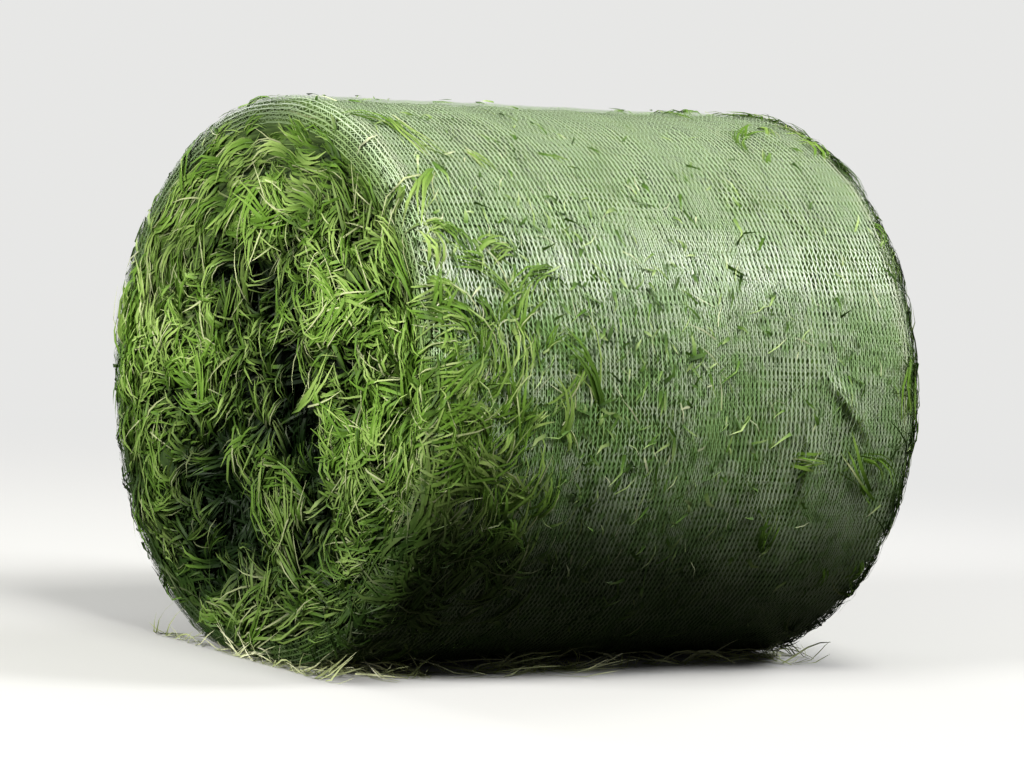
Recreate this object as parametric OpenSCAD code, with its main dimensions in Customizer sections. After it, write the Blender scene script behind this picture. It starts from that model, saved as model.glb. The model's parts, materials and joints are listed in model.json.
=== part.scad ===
// Net-wrapped round bale of fresh green forage, lying on its side.
// X runs along the roll's axis and Z is up. The origin is on the ground under the middle of the bale.
// The forage is one long mat, rolled up. Each turn is two half turns about two centres that lie half a
// pitch apart, so the mat keeps its thickness and runs on smoothly where the halves meet.

/* [Bale] */
// Diameter over the net
bale_d = 1150; // [1000:10:1500]
// Width between the flat edges of the outer turn, as the baling chamber sets it
bale_w = 1230; // [1000:10:1400]
// How far the round side has settled into its flat base
base_sag = 24; // [8:1:40]
// Radius of the shoulders between the round side and the end faces
shoulder_r = 42; // [20:1:50]
// How far the middle of each end face swells past the outer turn
end_swell = 20; // [5:1:40]

/* [Rolled mat] */
// Number of whole turns of the mat between its first and its last wedge
mat_turns = 7; // [5:1:9]
// How deep the rounded edge of a turn is, seen on the end face
edge_depth = 20; // [8:1:40]
// Thickness at which the first and last wedges end
wedge_tip = 6; // [3:1:12]

/* [Core] */
// Diameter of the tumbled core that the mat is rolled on
core_d = 330; // [240:10:420]
// Number of folds that make the star in the core
core_folds = 7; // [5:1:9]
// Diameter of the hollow in the middle of the star
hollow_d = 44; // [30:1:70]
// Width of the crease between two folds
crease_w = 5; // [2:0.5:10]
// How far a fold curls round the axis from its root to its rim, in degrees
fold_curl = 38; // [0:1:60]
// How far the hollow dips below the swollen end face
core_dip = 34; // [10:1:60]

/* [Net] */
// Thickness of one layer of net, measured over its knots
net_t = 2; // [1:0.1:3]
// How far the net's edge reaches down each end face, measured from the mat's round side
net_lip = 54; // [46:1:75]
// How far the net's loose end runs on past its whole turns, in degrees
net_tail_turn = 64; // [20:1:110]

/* [Hidden] */
// Clearance that keeps one layer off the next
seat = 0.3;
// Whole turns of net under its loose tail
net_turns = 2;
// Steps in a rounded edge, along a fold and across the core's dished end
edge_steps = 8;
fold_steps = 8;
dish_steps = 6;
// Largest share of the mat's thickness that its shoulder takes up
shoulder_share = 0.8;
// Angle at which the root of an unturned fold starts
fold_root = 90;
// Edges of the turns, counted from the core. The columns are crest, how far the edge stands out of the
// smooth swell, and drift, how far that turn ran towards the far end.
turn_edges = [
    [-4, 3],
    [5, -4],
    [-2, 2],
    [6, 4],
    [-3, -3],
    [4, 1],
];

net_pitch = net_t + seat;
mat_r = bale_d / 2 - (net_turns - 1 / 2) * net_pitch - net_t;
core_r = core_d / 2;
hollow_r = hollow_d / 2;
mat_pitch = (mat_r - core_r) / (mat_turns + 1 / 2);
mat_t = mat_pitch - seat;
half_step = mat_pitch / 2;
net_step = net_pitch / 2;
half_w = bale_w / 2;
core_half_w = half_w + end_swell;
lip_r = mat_r - net_lip;
shoulder = min(shoulder_r, mat_t * shoulder_share);
// Height of the mat's flat base, which lies on every whole turn of net, and of the roll's axis
base_z = net_turns * net_pitch;
axis_z = base_z + mat_r - base_sag;
// Angle over which a wedge thins from the whole mat to its tip
wedge_turn = acos(2 * wedge_tip / mat_pitch - 1);
// Length that runs past both ends of the bale, and size of a block that is larger than the bale
past_ends = bale_w * 2;
past_sides = bale_d * 2;

$fn = 180;

// How far the end face swells at radius r: nothing under the net's edge, most at the axis
function swell(r) = end_swell * max(0, 1 - pow(r / lip_r, 2));

// Points along part of an ellipse about [cx, cy], from angle a0 to angle a1
function arc(cx, cy, rx, ry, a0, a1) = [
    for (i = [0:edge_steps])
        let (a = a0 + (a1 - a0) * i / edge_steps)
            [cx + rx * cos(a), cy + ry * sin(a)]
];

// One side of a core fold, from the hollow to past the rim: side is -1 or 1
function fold_side(side) = [
    for (i = [0:fold_steps])
        let (
            half_share = 180 / core_folds,
            reach = core_r / cos(half_share),
            r = hollow_r + (reach - hollow_r) * i / fold_steps,
            crease = asin(crease_w / 2 / r),
            curl = fold_curl * (r - hollow_r) / (core_r - hollow_r),
            a = fold_root + curl + side * (half_share - crease)
        )
            [r * cos(a), r * sin(a)]
];

function reversed(points) = [for (i = [len(points) - 1:-1:0]) points[i]];

// Puts what is drawn round +Z on the roll's axis: angle 0 faces +Y and angle 90 faces up
module on_axis() {
    translate([0, -net_step, axis_z])
        rotate([90, 0, 90])
            children();
}

// Turns a section over the top from +Y
module over(angle = 180) {
    rotate_extrude(angle = angle)
        children();
}

// Turns a section under the bottom, ending at +Y
module under(angle = 180) {
    rotate([0, 0, 360 - angle])
        rotate_extrude(angle = angle)
            children();
}

// Everything lower than z
module below(z) {
    translate([0, 0, z - past_sides / 2])
        cube([past_ends, past_sides, past_sides], center = true);
}

// Section of the mat from radius r_in, with round edges at both ends of the roll. The outer corner is
// outer_rx by outer_ry, and the inner corner takes up what is left of the thickness.
module mat_section(r_in, end_x, drift, outer_rx, outer_ry) {
    inner_rx = mat_t - outer_rx;
    knee = r_in + inner_rx;
    near = end_x - drift;
    far = end_x + drift;
    polygon(concat(
        arc(knee, far - outer_ry, outer_rx, outer_ry, 0, 90),
        arc(knee, far - edge_depth, inner_rx, edge_depth, 90, 180),
        arc(knee, edge_depth - near, inner_rx, edge_depth, 180, 270),
        arc(knee, outer_ry - near, outer_rx, outer_ry, 270, 360)
    ));
}

// Section of the whole roll, grown by o past the mat: flat ends, round shoulders and a straight side
module roll_section(o) {
    grown = shoulder + o;
    polygon(concat(
        [[0, -half_w - o]],
        arc(mat_r - shoulder, shoulder - half_w, grown, grown, 270, 360),
        arc(mat_r - shoulder, half_w - shoulder, grown, grown, 0, 90),
        [[0, half_w + o]]
    ));
}

// The whole roll, grown by o and then by half a net's pitch more from its top to its underside
module roll(o) {
    over()
        roll_section(o);
    translate([net_step, 0, 0])
        under()
            roll_section(o + net_step);
}

// Section of the core, with an end that dips smoothly from its rim to the hollow
module core_section() {
    rim_r = core_r - seat;
    dish = [
        for (i = [0:dish_steps])
            [rim_r * i / dish_steps, core_half_w - core_dip * pow(cos(90 * i / dish_steps), 2)]
    ];
    polygon(concat(
        [for (p = dish) [p.x, -p.y]],
        reversed(dish)
    ));
}

// One fold of the core, a petal that curls round the axis
module core_fold(i) {
    color([0.30, 0.36, 0.16])
        on_axis()
            translate([-half_step, 0, 0])
                rotate([0, 0, i * 360 / core_folds])
                    intersection() {
                        over(360)
                            core_section();
                        linear_extrude(past_ends, center = true)
                            polygon(concat(fold_side(-1), reversed(fold_side(1))));
                    }
}

// The mat's first wedge, which fills the step where the first turn starts on the core
module mat_start() {
    color([0.36, 0.44, 0.20])
        on_axis()
            difference() {
                under(wedge_turn)
                    mat_section(core_r - half_step, half_w + swell(core_r), 0, mat_t / 2, edge_depth);
                translate([-half_step, 0, 0])
                    cylinder(r = core_r, h = past_ends, center = true);
            }
}

// One turn of the mat: over the top about one centre and under the bottom about the other. A turn that
// reaches under the net's edge keeps to the flat end, and the outer one has the shoulders.
module mat_turn(k) {
    outer = k == mat_turns;
    r_in = core_r + (k - 1) * mat_pitch;
    r_out = r_in + mat_pitch;
    tucked = r_out + half_step > lip_r;
    edge = turn_edges[(k - 1) % len(turn_edges)];
    end_x = tucked ? half_w - seat : half_w + swell(r_out) + edge[0];
    drift = tucked ? 0 : edge[1];
    outer_rx = outer ? shoulder : mat_t / 2;
    outer_ry = outer ? shoulder : edge_depth;
    color([0.44, 0.54, 0.26])
        difference() {
            on_axis() {
                translate([-half_step, 0, 0])
                    over()
                        mat_section(r_in, end_x, drift, outer_rx, outer_ry);
                under()
                    mat_section(r_in + half_step, end_x, drift, outer_rx, outer_ry);
            }
            if (outer)
                below(base_z);
        }
}

// The mat's last wedge, which brings the roll back to a true round under the net
module mat_tail() {
    color([0.47, 0.57, 0.28])
        on_axis()
            difference() {
                over(wedge_turn)
                    mat_section(mat_r - mat_pitch, half_w - seat, 0, shoulder, shoulder);
                translate([-half_step, 0, 0])
                    cylinder(r = mat_r - half_step, h = past_ends, center = true);
            }
}

// One whole turn of net, drawn over both shoulders and flat where it is pressed on the ground
module net_turn(k) {
    o = (k - 1) * net_pitch;
    flat_z = (net_turns - k) * net_pitch;
    color([0.78, 0.86, 0.76])
        difference() {
            on_axis()
                roll(o + net_t);
            below(flat_z);
            difference() {
                on_axis()
                    roll(o);
                below(flat_z + net_t);
            }
            on_axis()
                cylinder(r = lip_r, h = past_ends, center = true);
        }
}

// The net's loose end, which lies on the last whole turn
module net_tail() {
    o = net_turns * net_pitch;
    color([0.82, 0.90, 0.80])
        on_axis()
            over(net_tail_turn)
                difference() {
                    roll_section(o + net_t);
                    roll_section(o);
                    translate([0, -past_ends / 2])
                        square([lip_r, past_ends]);
                }
}

for (i = [1:core_folds])
    core_fold(i);
mat_start();
for (k = [1:mat_turns])
    mat_turn(k);
mat_tail();
for (k = [1:net_turns])
    net_turn(k);
net_tail();
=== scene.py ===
"""Looks of a net-wrapped round bale of fresh green forage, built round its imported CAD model.

The rolled mat, its tangled end faces, the grass under the net and the net itself are modelled here, in
metres. The roll's main sizes are worked out from the frame, and those of a detail are fields of its class.
"""

import json
import logging
import math
import random
from dataclasses import dataclass
from enum import Enum
from typing import Callable, Iterable, Sequence

import bmesh
import bpy
from mathutils import Matrix, Vector, noise

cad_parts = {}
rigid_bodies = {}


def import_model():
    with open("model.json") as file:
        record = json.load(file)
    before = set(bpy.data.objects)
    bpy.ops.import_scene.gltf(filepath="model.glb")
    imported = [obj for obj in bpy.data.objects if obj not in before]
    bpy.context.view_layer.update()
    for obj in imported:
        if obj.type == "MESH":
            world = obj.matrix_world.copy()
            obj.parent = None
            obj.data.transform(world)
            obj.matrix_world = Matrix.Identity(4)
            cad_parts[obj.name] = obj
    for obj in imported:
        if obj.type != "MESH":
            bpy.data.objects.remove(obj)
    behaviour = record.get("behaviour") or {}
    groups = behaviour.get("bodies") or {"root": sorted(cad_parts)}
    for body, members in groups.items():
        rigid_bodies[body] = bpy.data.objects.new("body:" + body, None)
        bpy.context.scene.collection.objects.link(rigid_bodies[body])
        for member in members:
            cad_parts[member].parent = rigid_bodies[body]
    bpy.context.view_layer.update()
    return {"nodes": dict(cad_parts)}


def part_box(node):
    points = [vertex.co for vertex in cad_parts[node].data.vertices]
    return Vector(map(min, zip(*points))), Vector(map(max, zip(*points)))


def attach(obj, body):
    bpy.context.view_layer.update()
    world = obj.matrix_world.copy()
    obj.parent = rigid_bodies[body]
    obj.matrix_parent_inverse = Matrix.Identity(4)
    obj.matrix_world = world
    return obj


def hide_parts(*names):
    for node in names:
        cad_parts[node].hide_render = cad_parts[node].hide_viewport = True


LOG = logging.getLogger("round_bale")
BODY = "root"

Colour = tuple[float, float, float]
Point = tuple[float, float, float]
Face = tuple[int, ...]


class End(Enum):
    """The two end faces of the roll, by the direction that each one faces along X."""

    NEAR = -1
    FAR = 1

    @property
    def word(self) -> str:
        """The end's name, as pieces carry it."""
        return self.name.lower()


def operator(operation: str, turned_round: bool = False) -> Callable[["Socket", "Socket | float"], "Socket"]:
    """Makes the method behind one of a Socket's operators.

    Args:
        operation: The Math node's operation.
        turned_round: Whether the other value comes first, as in a reflected operator.

    Returns:
        The method.
    """
    def apply(self: "Socket", other: "Socket | float") -> "Socket":
        """Adds the Math node."""
        values = (other, self) if turned_round else (self, other)
        return self.graph.math(operation, *values)

    return apply


class Socket:
    """A node's output that takes part in Python maths, each operator adding one Math node."""

    __add__ = operator("ADD")
    __radd__ = operator("ADD", turned_round=True)
    __sub__ = operator("SUBTRACT")
    __rsub__ = operator("SUBTRACT", turned_round=True)
    __mul__ = operator("MULTIPLY")
    __rmul__ = operator("MULTIPLY", turned_round=True)
    __truediv__ = operator("DIVIDE")
    __rtruediv__ = operator("DIVIDE", turned_round=True)
    __pow__ = operator("POWER")
    __rpow__ = operator("POWER", turned_round=True)
    at_least = operator("MAXIMUM")
    at_most = operator("MINIMUM")

    def __init__(self, graph: "Graph", link: bpy.types.NodeSocket) -> None:
        """Wraps an output of a node in the graph."""
        self.graph = graph
        self.link = link

    def __neg__(self) -> "Socket":
        """This with its sign turned."""
        return self * -1.0

    def __abs__(self) -> "Socket":
        """This without its sign."""
        return self.graph.math("ABSOLUTE", self)

    def clamped(self, low: float, high: float) -> "Socket":
        """This, kept between two numbers."""
        return self.at_least(low).at_most(high)

    def rising(self, start: float, over: float) -> "Socket":
        """0 up to the start, and from there straight up to 1 over a distance."""
        return ((self - start) * (1.0 / over)).clamped(0.0, 1.0)

    def smoothed(self) -> "Socket":
        """This, from 0 to 1, with a gentle start and end."""
        return self * self * (3.0 - 2.0 * self)

    def hump(self, middle: float, half: float) -> "Socket":
        """1 at the middle, falling smoothly to nothing."""
        off = (self - middle) * (1.0 / half)
        return self.graph.math("EXPONENT", -(off * off))

    def held_under(self, limit: "Socket | float", soft: float) -> "Socket":
        """This, slowing down near a limit and never passing it.

        Args:
            limit: The limit.
            soft: How far below the limit it starts to slow down.

        Returns:
            The number that is held back.
        """
        knee = limit - soft
        over = (self - knee).at_least(0.0)
        eased = (1.0 - self.graph.math("EXPONENT", over * (-1.0 / soft))) * soft
        return self.at_most(knee) + eased


@dataclass(frozen=True)
class Grain:
    """One kind of noise: how fine it is, how much detail it has and how rough that is."""

    scale: float
    detail: float = 2.0
    roughness: float = 0.5


class Graph:
    """A node tree, shader or geometry, that is written as calls and expressions."""

    def __init__(self, tree: bpy.types.NodeTree) -> None:
        """Wraps a tree."""
        self.tree = tree

    def node(self, kind: str, settings: dict | None = None, inputs: dict | None = None) -> bpy.types.Node:
        """Adds a node.

        Args:
            kind: The node's type.
            settings: Properties of the node, set before its sockets. A ramp's stops are under "stops".
            inputs: Values or Sockets by the input's name or index.

        Returns:
            The node.
        """
        made = self.tree.nodes.new(kind)
        for name, value in (settings or {}).items():
            if name == "stops":
                self.set_stops(made.color_ramp, value)
            else:
                setattr(made, name, value)
        self.fill(made, inputs or {})
        return made

    @staticmethod
    def set_stops(ramp: bpy.types.ColorRamp, stops: Iterable[tuple[float, Colour]]) -> None:
        """Gives a ramp its stops.

        Args:
            ramp: The ramp.
            stops: The place and the colour of each stop, from the first to the last.
        """
        while len(ramp.elements) > 1:
            ramp.elements.remove(ramp.elements[-1])
        for i, (at, colour) in enumerate(stops):
            element = ramp.elements[0] if i == 0 else ramp.elements.new(at)
            element.position = at
            element.color = (*colour, 1.0)

    def fill(self, node: bpy.types.Node, inputs: dict) -> None:
        """Links or sets inputs of a node.

        Args:
            node: The node.
            inputs: Values or Sockets by the input's name or index.
        """
        for name, value in inputs.items():
            socket = node.inputs[name]
            if isinstance(value, Socket):
                self.tree.links.new(value.link, socket)
            elif socket.type == "RGBA":
                socket.default_value = (*value, 1.0)
            else:
                socket.default_value = value

    def out(self, kind: str, settings: dict | None = None, inputs: dict | None = None,
            output: str | int = 0) -> Socket:
        """Adds a node and returns one of its outputs."""
        return Socket(self, self.node(kind, settings, inputs).outputs[output])

    def math(self, operation: str, *values: Socket | float) -> Socket:
        """Adds a Math node."""
        return self.out("ShaderNodeMath", {"operation": operation}, dict(enumerate(values)))

    def vector(self, operation: str, *values: Socket | Point, output: str | int = 0) -> Socket:
        """Adds a Vector Math node."""
        return self.out("ShaderNodeVectorMath", {"operation": operation}, dict(enumerate(values)), output)

    def xyz(self, x: Socket | float, y: Socket | float, z: Socket | float) -> Socket:
        """Joins three numbers into a vector."""
        return self.out("ShaderNodeCombineXYZ", inputs={0: x, 1: y, 2: z})

    def parts(self, vector: Socket) -> tuple[Socket, Socket, Socket]:
        """Splits a vector into its three numbers."""
        made = self.node("ShaderNodeSeparateXYZ", inputs={0: vector})
        return tuple(Socket(self, made.outputs[i]) for i in range(3))

    def noise(self, at: Socket, grain: Grain) -> Socket:
        """Noise from 0 to 1 at a place."""
        inputs = {"Vector": at, "Scale": grain.scale, "Detail": grain.detail, "Roughness": grain.roughness}
        return self.out("ShaderNodeTexNoise", inputs=inputs)

    def swing(self, at: Socket, grain: Grain, reach: Socket | float) -> Socket:
        """Noise at a place that swings evenly to both sides of 0, by half of its reach."""
        return (self.noise(at, grain) - 0.5) * reach

    def object_place(self) -> Socket:
        """The place on the object that is shaded."""
        return self.out("ShaderNodeTexCoord", output="Object")

    def attribute(self, name: str) -> Socket:
        """A number that the mesh holds."""
        return self.out("ShaderNodeAttribute", {"attribute_name": name}, output="Fac")

    def seen(self) -> Socket:
        """1 where the camera looks straight at a place, and otherwise 0."""
        return self.out("ShaderNodeLightPath", output="Is Camera Ray")

    def ramp(self, factor: Socket, at: Sequence[float], colours: Sequence[Colour]) -> Socket:
        """Colour from a number, by a ramp's places and the colours there."""
        return self.out("ShaderNodeValToRGB", {"stops": zip(at, colours)}, {0: factor})

    def mixed(self, factor: Socket | float, a: Socket | Colour, b: Socket | Colour,
              blend: str = "MIX") -> Socket:
        """Mixes two colours."""
        settings = {"data_type": "RGBA", "blend_type": blend}
        return self.out("ShaderNodeMix", settings, {0: factor, 6: a, 7: b}, 2)

    def bump(self, height: Socket, strength: float, distance: float) -> Socket:
        """The direction that a small relief gives a surface."""
        inputs = {"Strength": strength, "Distance": distance, "Height": height}
        return self.out("ShaderNodeBump", inputs=inputs)


@dataclass(frozen=True)
class RollSizes:
    """Sizes of the roll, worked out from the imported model."""

    turns: int
    axis_y: float
    axis_z: float
    mat_r: float
    pitch: float
    half_w: float
    core_half_w: float
    base_z: float
    net_pitch: float
    net_lip: float = 0.054
    shoulder: float = 0.042
    edge_depth: float = 0.020

    @classmethod
    def measured(cls, turns: int) -> "RollSizes":
        """Works the sizes out from the boxes of the CAD nodes.

        Args:
            turns: Number of whole turns of the mat.

        Returns:
            The sizes.
        """
        low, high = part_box(f"mat_turn_{turns}")
        within_low, within_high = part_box(f"mat_turn_{turns - 1}")
        _, core_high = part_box("core_fold_1")
        tail_low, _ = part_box("mat_tail")
        one_low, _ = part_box("net_turn_1")
        return cls(
            turns=turns,
            axis_y=(low.y + high.y) / 2,
            axis_z=tail_low.z,
            mat_r=(high.y - low.y) / 2,
            pitch=((high.y - low.y) - (within_high.y - within_low.y)) / 2,
            half_w=high.x,
            core_half_w=core_high.x,
            base_z=low.z,
            net_pitch=one_low.z,
        )

    @property
    def core_r(self) -> float:
        """Radius of the core."""
        return self.mat_r - self.pitch * (self.turns + 0.5)

    @property
    def lip_r(self) -> float:
        """Radius that the net's edge reaches down to on an end face."""
        return self.mat_r - self.net_lip

    def swell(self, r: float) -> float:
        """How far the end face swells at a radius."""
        return (self.core_half_w - self.half_w) * max(0.0, 1.0 - (r / self.lip_r) ** 2)

    def layer_r(self, layer: int, angle: float) -> float:
        """Radius of the surface between two turns of the mat.

        Args:
            layer: 0 is the inside of the first turn, and each turn adds one.
            angle: Angle about the roll's axis, from +Y over the top.

        Returns:
            The distance from the roll's axis.
        """
        r = self.core_r + layer * self.pitch
        if angle % math.tau >= math.pi:
            return r + self.pitch / 2
        return self.over_r(r, angle)

    def over_r(self, r: float, angle: float) -> float:
        """Distance from the roll's axis to a circle about the mat's other centre."""
        step = self.pitch / 2
        return math.sqrt(r * r - (step * math.sin(angle)) ** 2) - step * math.cos(angle)

    def place(self, x: float, r: float, angle: float) -> Vector:
        """The point at a radius and an angle about the roll's axis."""
        return Vector((x, self.axis_y + r * math.cos(angle), self.axis_z + r * math.sin(angle)))

    def about_axis(self, graph: Graph, place: Socket) -> tuple[Socket, Socket, Socket, Socket]:
        """A place as its way along the roll's axis, behind it, above it and away from it."""
        x, y, z = graph.parts(graph.vector("SUBTRACT", place, (0.0, self.axis_y, self.axis_z)))
        return x, y, z, graph.math("SQRT", y * y + z * z)


@dataclass(frozen=True)
class Pleat:
    """A small fold in the net: its middle and heading on the flat net, its length, and how far it rises."""

    along: float
    across: float
    heading: float
    half_length: float
    rise: float
    slope: float = 0.030
    drop: float = 0.006
    crease: float = 0.007

    def lines(self, u: Socket, v: Socket) -> tuple[Socket, Socket]:
        """Turns a flat place to the fold.

        Args:
            u: The way along the net.
            v: The way across it.

        Returns:
            The way along the fold and the way past it.
        """
        cos_h = math.cos(self.heading)
        sin_h = math.sin(self.heading)
        du = u - self.along
        dv = v - self.across
        return du * cos_h + dv * sin_h, du * sin_h - dv * cos_h

    def height(self, u: Socket, v: Socket) -> Socket:
        """How far the net is raised: a gentle slope up to the fold, then a steep drop.

        Args:
            u: The way along the net.
            v: The way across it.

        Returns:
            The rise at that place.
        """
        run, off = self.lines(u, v)
        before = off.at_most(0.0).hump(0.0, self.slope)
        after = off.at_least(0.0).hump(0.0, self.drop)
        return before * after * run.hump(0.0, self.half_length) * self.rise

    def darkness(self, u: Socket, v: Socket) -> Socket:
        """Share of painted shade at a place: the shadow along the fold's crease, painted into the colour."""
        run, off = self.lines(u, v)
        return off.hump(self.crease, self.crease) * run.hump(0.0, self.half_length)


class Finish:
    """What every finish shares: a material with one Principled shader and a graph to write it in."""

    name = "finish"

    def material(self) -> bpy.types.Material:
        """Makes the material, or finds it if it has been made.

        Returns:
            The material.
        """
        found = bpy.data.materials.get(self.name)
        if found:
            return found
        made = bpy.data.materials.new(self.name)
        made.use_nodes = True
        graph = Graph(made.node_tree)
        graph.fill(made.node_tree.nodes["Principled BSDF"], self.dress(graph))
        return made

    def dress(self, graph: Graph) -> dict[str, object]:
        """Writes the finish: what each of the shader's inputs is fed."""
        raise NotImplementedError


@dataclass(frozen=True)
class ForageFinish(Finish):
    """What the finishes on the bale share: how deep a place lies, and the shade painted into their colour
    towards the ground and in the net's creases.
    """

    sizes: RollSizes
    pleats: tuple[Pleat, ...] = ()
    proud: float = 0.012
    proud_side: float = 0.004
    foot_height: float = 0.45
    foot_rise: float = 0.21
    foot_fade: float = 0.30
    foot_share: float = 0.76
    foot_grain: Grain = Grain(5.0, 3.0)
    foot_uneven: float = 0.24
    crease_share: float = 0.9
    # The colour that the painted shade darkens towards.
    soil: Colour = (0.010, 0.028, 0.004)

    def soiled_by(self, graph: Graph, colour: Socket) -> Socket:
        """Paints shade into a colour: towards the ground, most of all by the near end, and as shadows in the
        net's creases.

        Args:
            graph: The graph to write in.
            colour: The colour before the painted shade.

        Returns:
            The colour with the painted shade.
        """
        place = graph.object_place()
        x, _, up = graph.parts(place)
        # Painted shade on the lower side, reaching higher by the near end, for the shade that falls there.
        foot = x * -self.foot_rise + self.foot_height + graph.swing(place, self.foot_grain, self.foot_uneven)
        dark = (foot - up).rising(0.0, self.foot_fade).smoothed() * self.foot_share
        # Painted shadow along the crease of each fold in the net.
        if self.pleats:
            _, y, z, _ = self.sizes.about_axis(graph, place)
            turned = graph.math("ARCTAN2", z, y)
            u = (turned + graph.math("LESS_THAN", turned, 0.0) * math.tau) * self.sizes.mat_r
            for pleat in self.pleats:
                dark = dark.at_least(pleat.darkness(u, x) * self.crease_share)
        return graph.mixed(dark, colour, self.soil)

    def depths(self, graph: Graph) -> tuple[Socket, Socket]:
        """How deep a place lies.

        Args:
            graph: The graph to write in.

        Returns:
            Its depth below the end face and below the round side.
        """
        sizes = self.sizes
        x, _, _, r = sizes.about_axis(graph, graph.object_place())
        over = r * (1.0 / sizes.lip_r)
        swell = (1.0 - over * over).at_least(0.0) * (sizes.core_half_w - sizes.half_w)
        from_end = swell + (sizes.half_w + self.proud) - abs(x)
        return from_end, (sizes.mat_r + self.proud_side) - r


@dataclass(frozen=True)
class GrassFinish(ForageFinish):
    """Cut grass: each blade has its own tint, and what lies deep inside the bale is darkened with painted
    shade.
    """

    name: str = "cut_grass"
    # The colour that the painted shade of depth darkens towards.
    damp: Colour = (0.004, 0.014, 0.001)
    deep: Colour = (0.062, 0.140, 0.014)
    fresh: Colour = (0.185, 0.360, 0.040)
    pale: Colour = (0.430, 0.610, 0.160)
    dry: Colour = (0.640, 0.710, 0.360)
    tones_at: tuple[float, ...] = (0.0, 0.40, 0.78, 0.95)
    tint_share: float = 0.52
    blade_share: float = 0.20
    patch_share: float = 0.46
    tip_share: float = 0.38
    darker: float = 0.34
    bleached: Colour = (0.260, 0.430, 0.140)
    bleach: float = 0.0
    bleach_depth: float = 0.030
    dark_at: float = 0.040
    patches: Grain = Grain(4.0, 3.0)
    fibres: Grain = Grain(225.0)
    fibres_at: tuple[float, float] = (0.3, 0.7)
    fibres_dark: Colour = (0.35, 0.35, 0.35)
    fibres_light: Colour = (1.0, 1.0, 1.0)
    fibre_share: float = 0.25
    veins: Grain = Grain(900.0, 1.0)
    vein_height: float = 0.0004
    vein_strength: float = 0.4
    roughness: float = 0.40
    fibre_roughness: float = 0.3
    gloss: float = 0.2

    def dress(self, graph: Graph) -> dict[str, object]:
        """Writes the finish.

        Args:
            graph: The graph to write in.

        Returns:
            What each of the shader's inputs is fed.
        """
        place = graph.object_place()
        tint = graph.attribute("tint") * self.tint_share + graph.attribute("blade") * self.blade_share
        patch = graph.noise(place, self.patches) * self.patch_share
        shade = tint + patch + graph.attribute("along") * self.tip_share - self.darker
        tones = (self.deep, self.fresh, self.pale, self.dry)
        colour = graph.ramp(shade.clamped(0.0, 1.0), self.tones_at, tones)
        from_end, from_side = self.depths(graph)
        surface = (1.0 - from_side * (1.0 / self.bleach_depth)).clamped(0.0, self.bleach)
        colour = graph.mixed(surface, colour, self.bleached)
        fine = graph.noise(place, self.fibres)
        streaked = graph.ramp(fine, self.fibres_at, (self.fibres_dark, self.fibres_light))
        colour = graph.mixed(self.fibre_share, colour, streaked, "MULTIPLY")
        # Painted shade: the deeper a place lies below the end face or the round side, the darker its colour,
        # for the shade inside the bale.
        sunk = from_end.at_most(from_side).rising(0.0, self.dark_at)
        colour = graph.mixed(sunk * (2.0 - sunk), colour, self.damp)
        return {
            "Base Color": self.soiled_by(graph, colour),
            "Specular IOR Level": self.gloss,
            "Roughness": fine * self.fibre_roughness + self.roughness,
            "Normal": graph.bump(graph.noise(place, self.veins), self.vein_strength, self.vein_height),
        }


@dataclass(frozen=True)
class MatFinish(ForageFinish):
    """The rolled mat behind the loose blades: pressed stalks, green by the surface and darkened below it with
    painted shade.
    """

    name: str = "pressed_grass"
    # The colour that the painted shade of depth darkens towards.
    damp: Colour = (0.004, 0.009, 0.003)
    shaded: Colour = (0.022, 0.050, 0.009)
    lit: Colour = (0.180, 0.290, 0.070)
    tones_at: tuple[float, float] = (0.38, 0.62)
    side_dark_at: float = 0.045
    end_dark_at: float = 0.028
    streaks: Grain = Grain(1.0, 3.0, 0.6)
    along_scale: float = 9.0
    across_scale: float = 130.0
    streak_share: float = 0.6
    clumps: Grain = Grain(14.0, 3.0)
    roughness: float = 0.7
    streak_roughness: float = 0.2
    streak_strength: float = 0.8
    streak_height: float = 0.004
    gloss: float = 0.2

    def along_mat(self, graph: Graph) -> Socket:
        """Noise drawn out along the mat, as its stalks lie.

        Args:
            graph: The graph to write in.

        Returns:
            The noise, from 0 to 1.
        """
        x, y, z, r = self.sizes.about_axis(graph, graph.object_place())
        run = graph.math("ARCTAN2", y, z) * self.sizes.mat_r
        drawn = graph.xyz(run * self.along_scale, x * self.across_scale, r * self.across_scale)
        return graph.noise(drawn, self.streaks)

    def dress(self, graph: Graph) -> dict[str, object]:
        """Writes the finish.

        Args:
            graph: The graph to write in.

        Returns:
            What each of the shader's inputs is fed.
        """
        from_end, from_side = self.depths(graph)
        sunk_end = from_end.rising(0.0, self.end_dark_at)
        sunk_side = from_side.rising(0.0, self.side_dark_at)
        streaks = self.along_mat(graph)
        clumps = graph.noise(graph.object_place(), self.clumps)
        tone = streaks * self.streak_share + clumps * (1.0 - self.streak_share)
        colour = graph.ramp(tone, self.tones_at, (self.shaded, self.lit))
        # Painted shade: the mat darkens with depth below the end face and the round side, for the shade
        # inside the bale.
        colour = graph.mixed(sunk_end.at_most(sunk_side), colour, self.damp)
        return {
            "Base Color": self.soiled_by(graph, colour),
            "Specular IOR Level": self.gloss,
            "Roughness": streaks * self.streak_roughness + self.roughness,
            "Normal": graph.bump(streaks, self.streak_strength, self.streak_height),
        }


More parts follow.
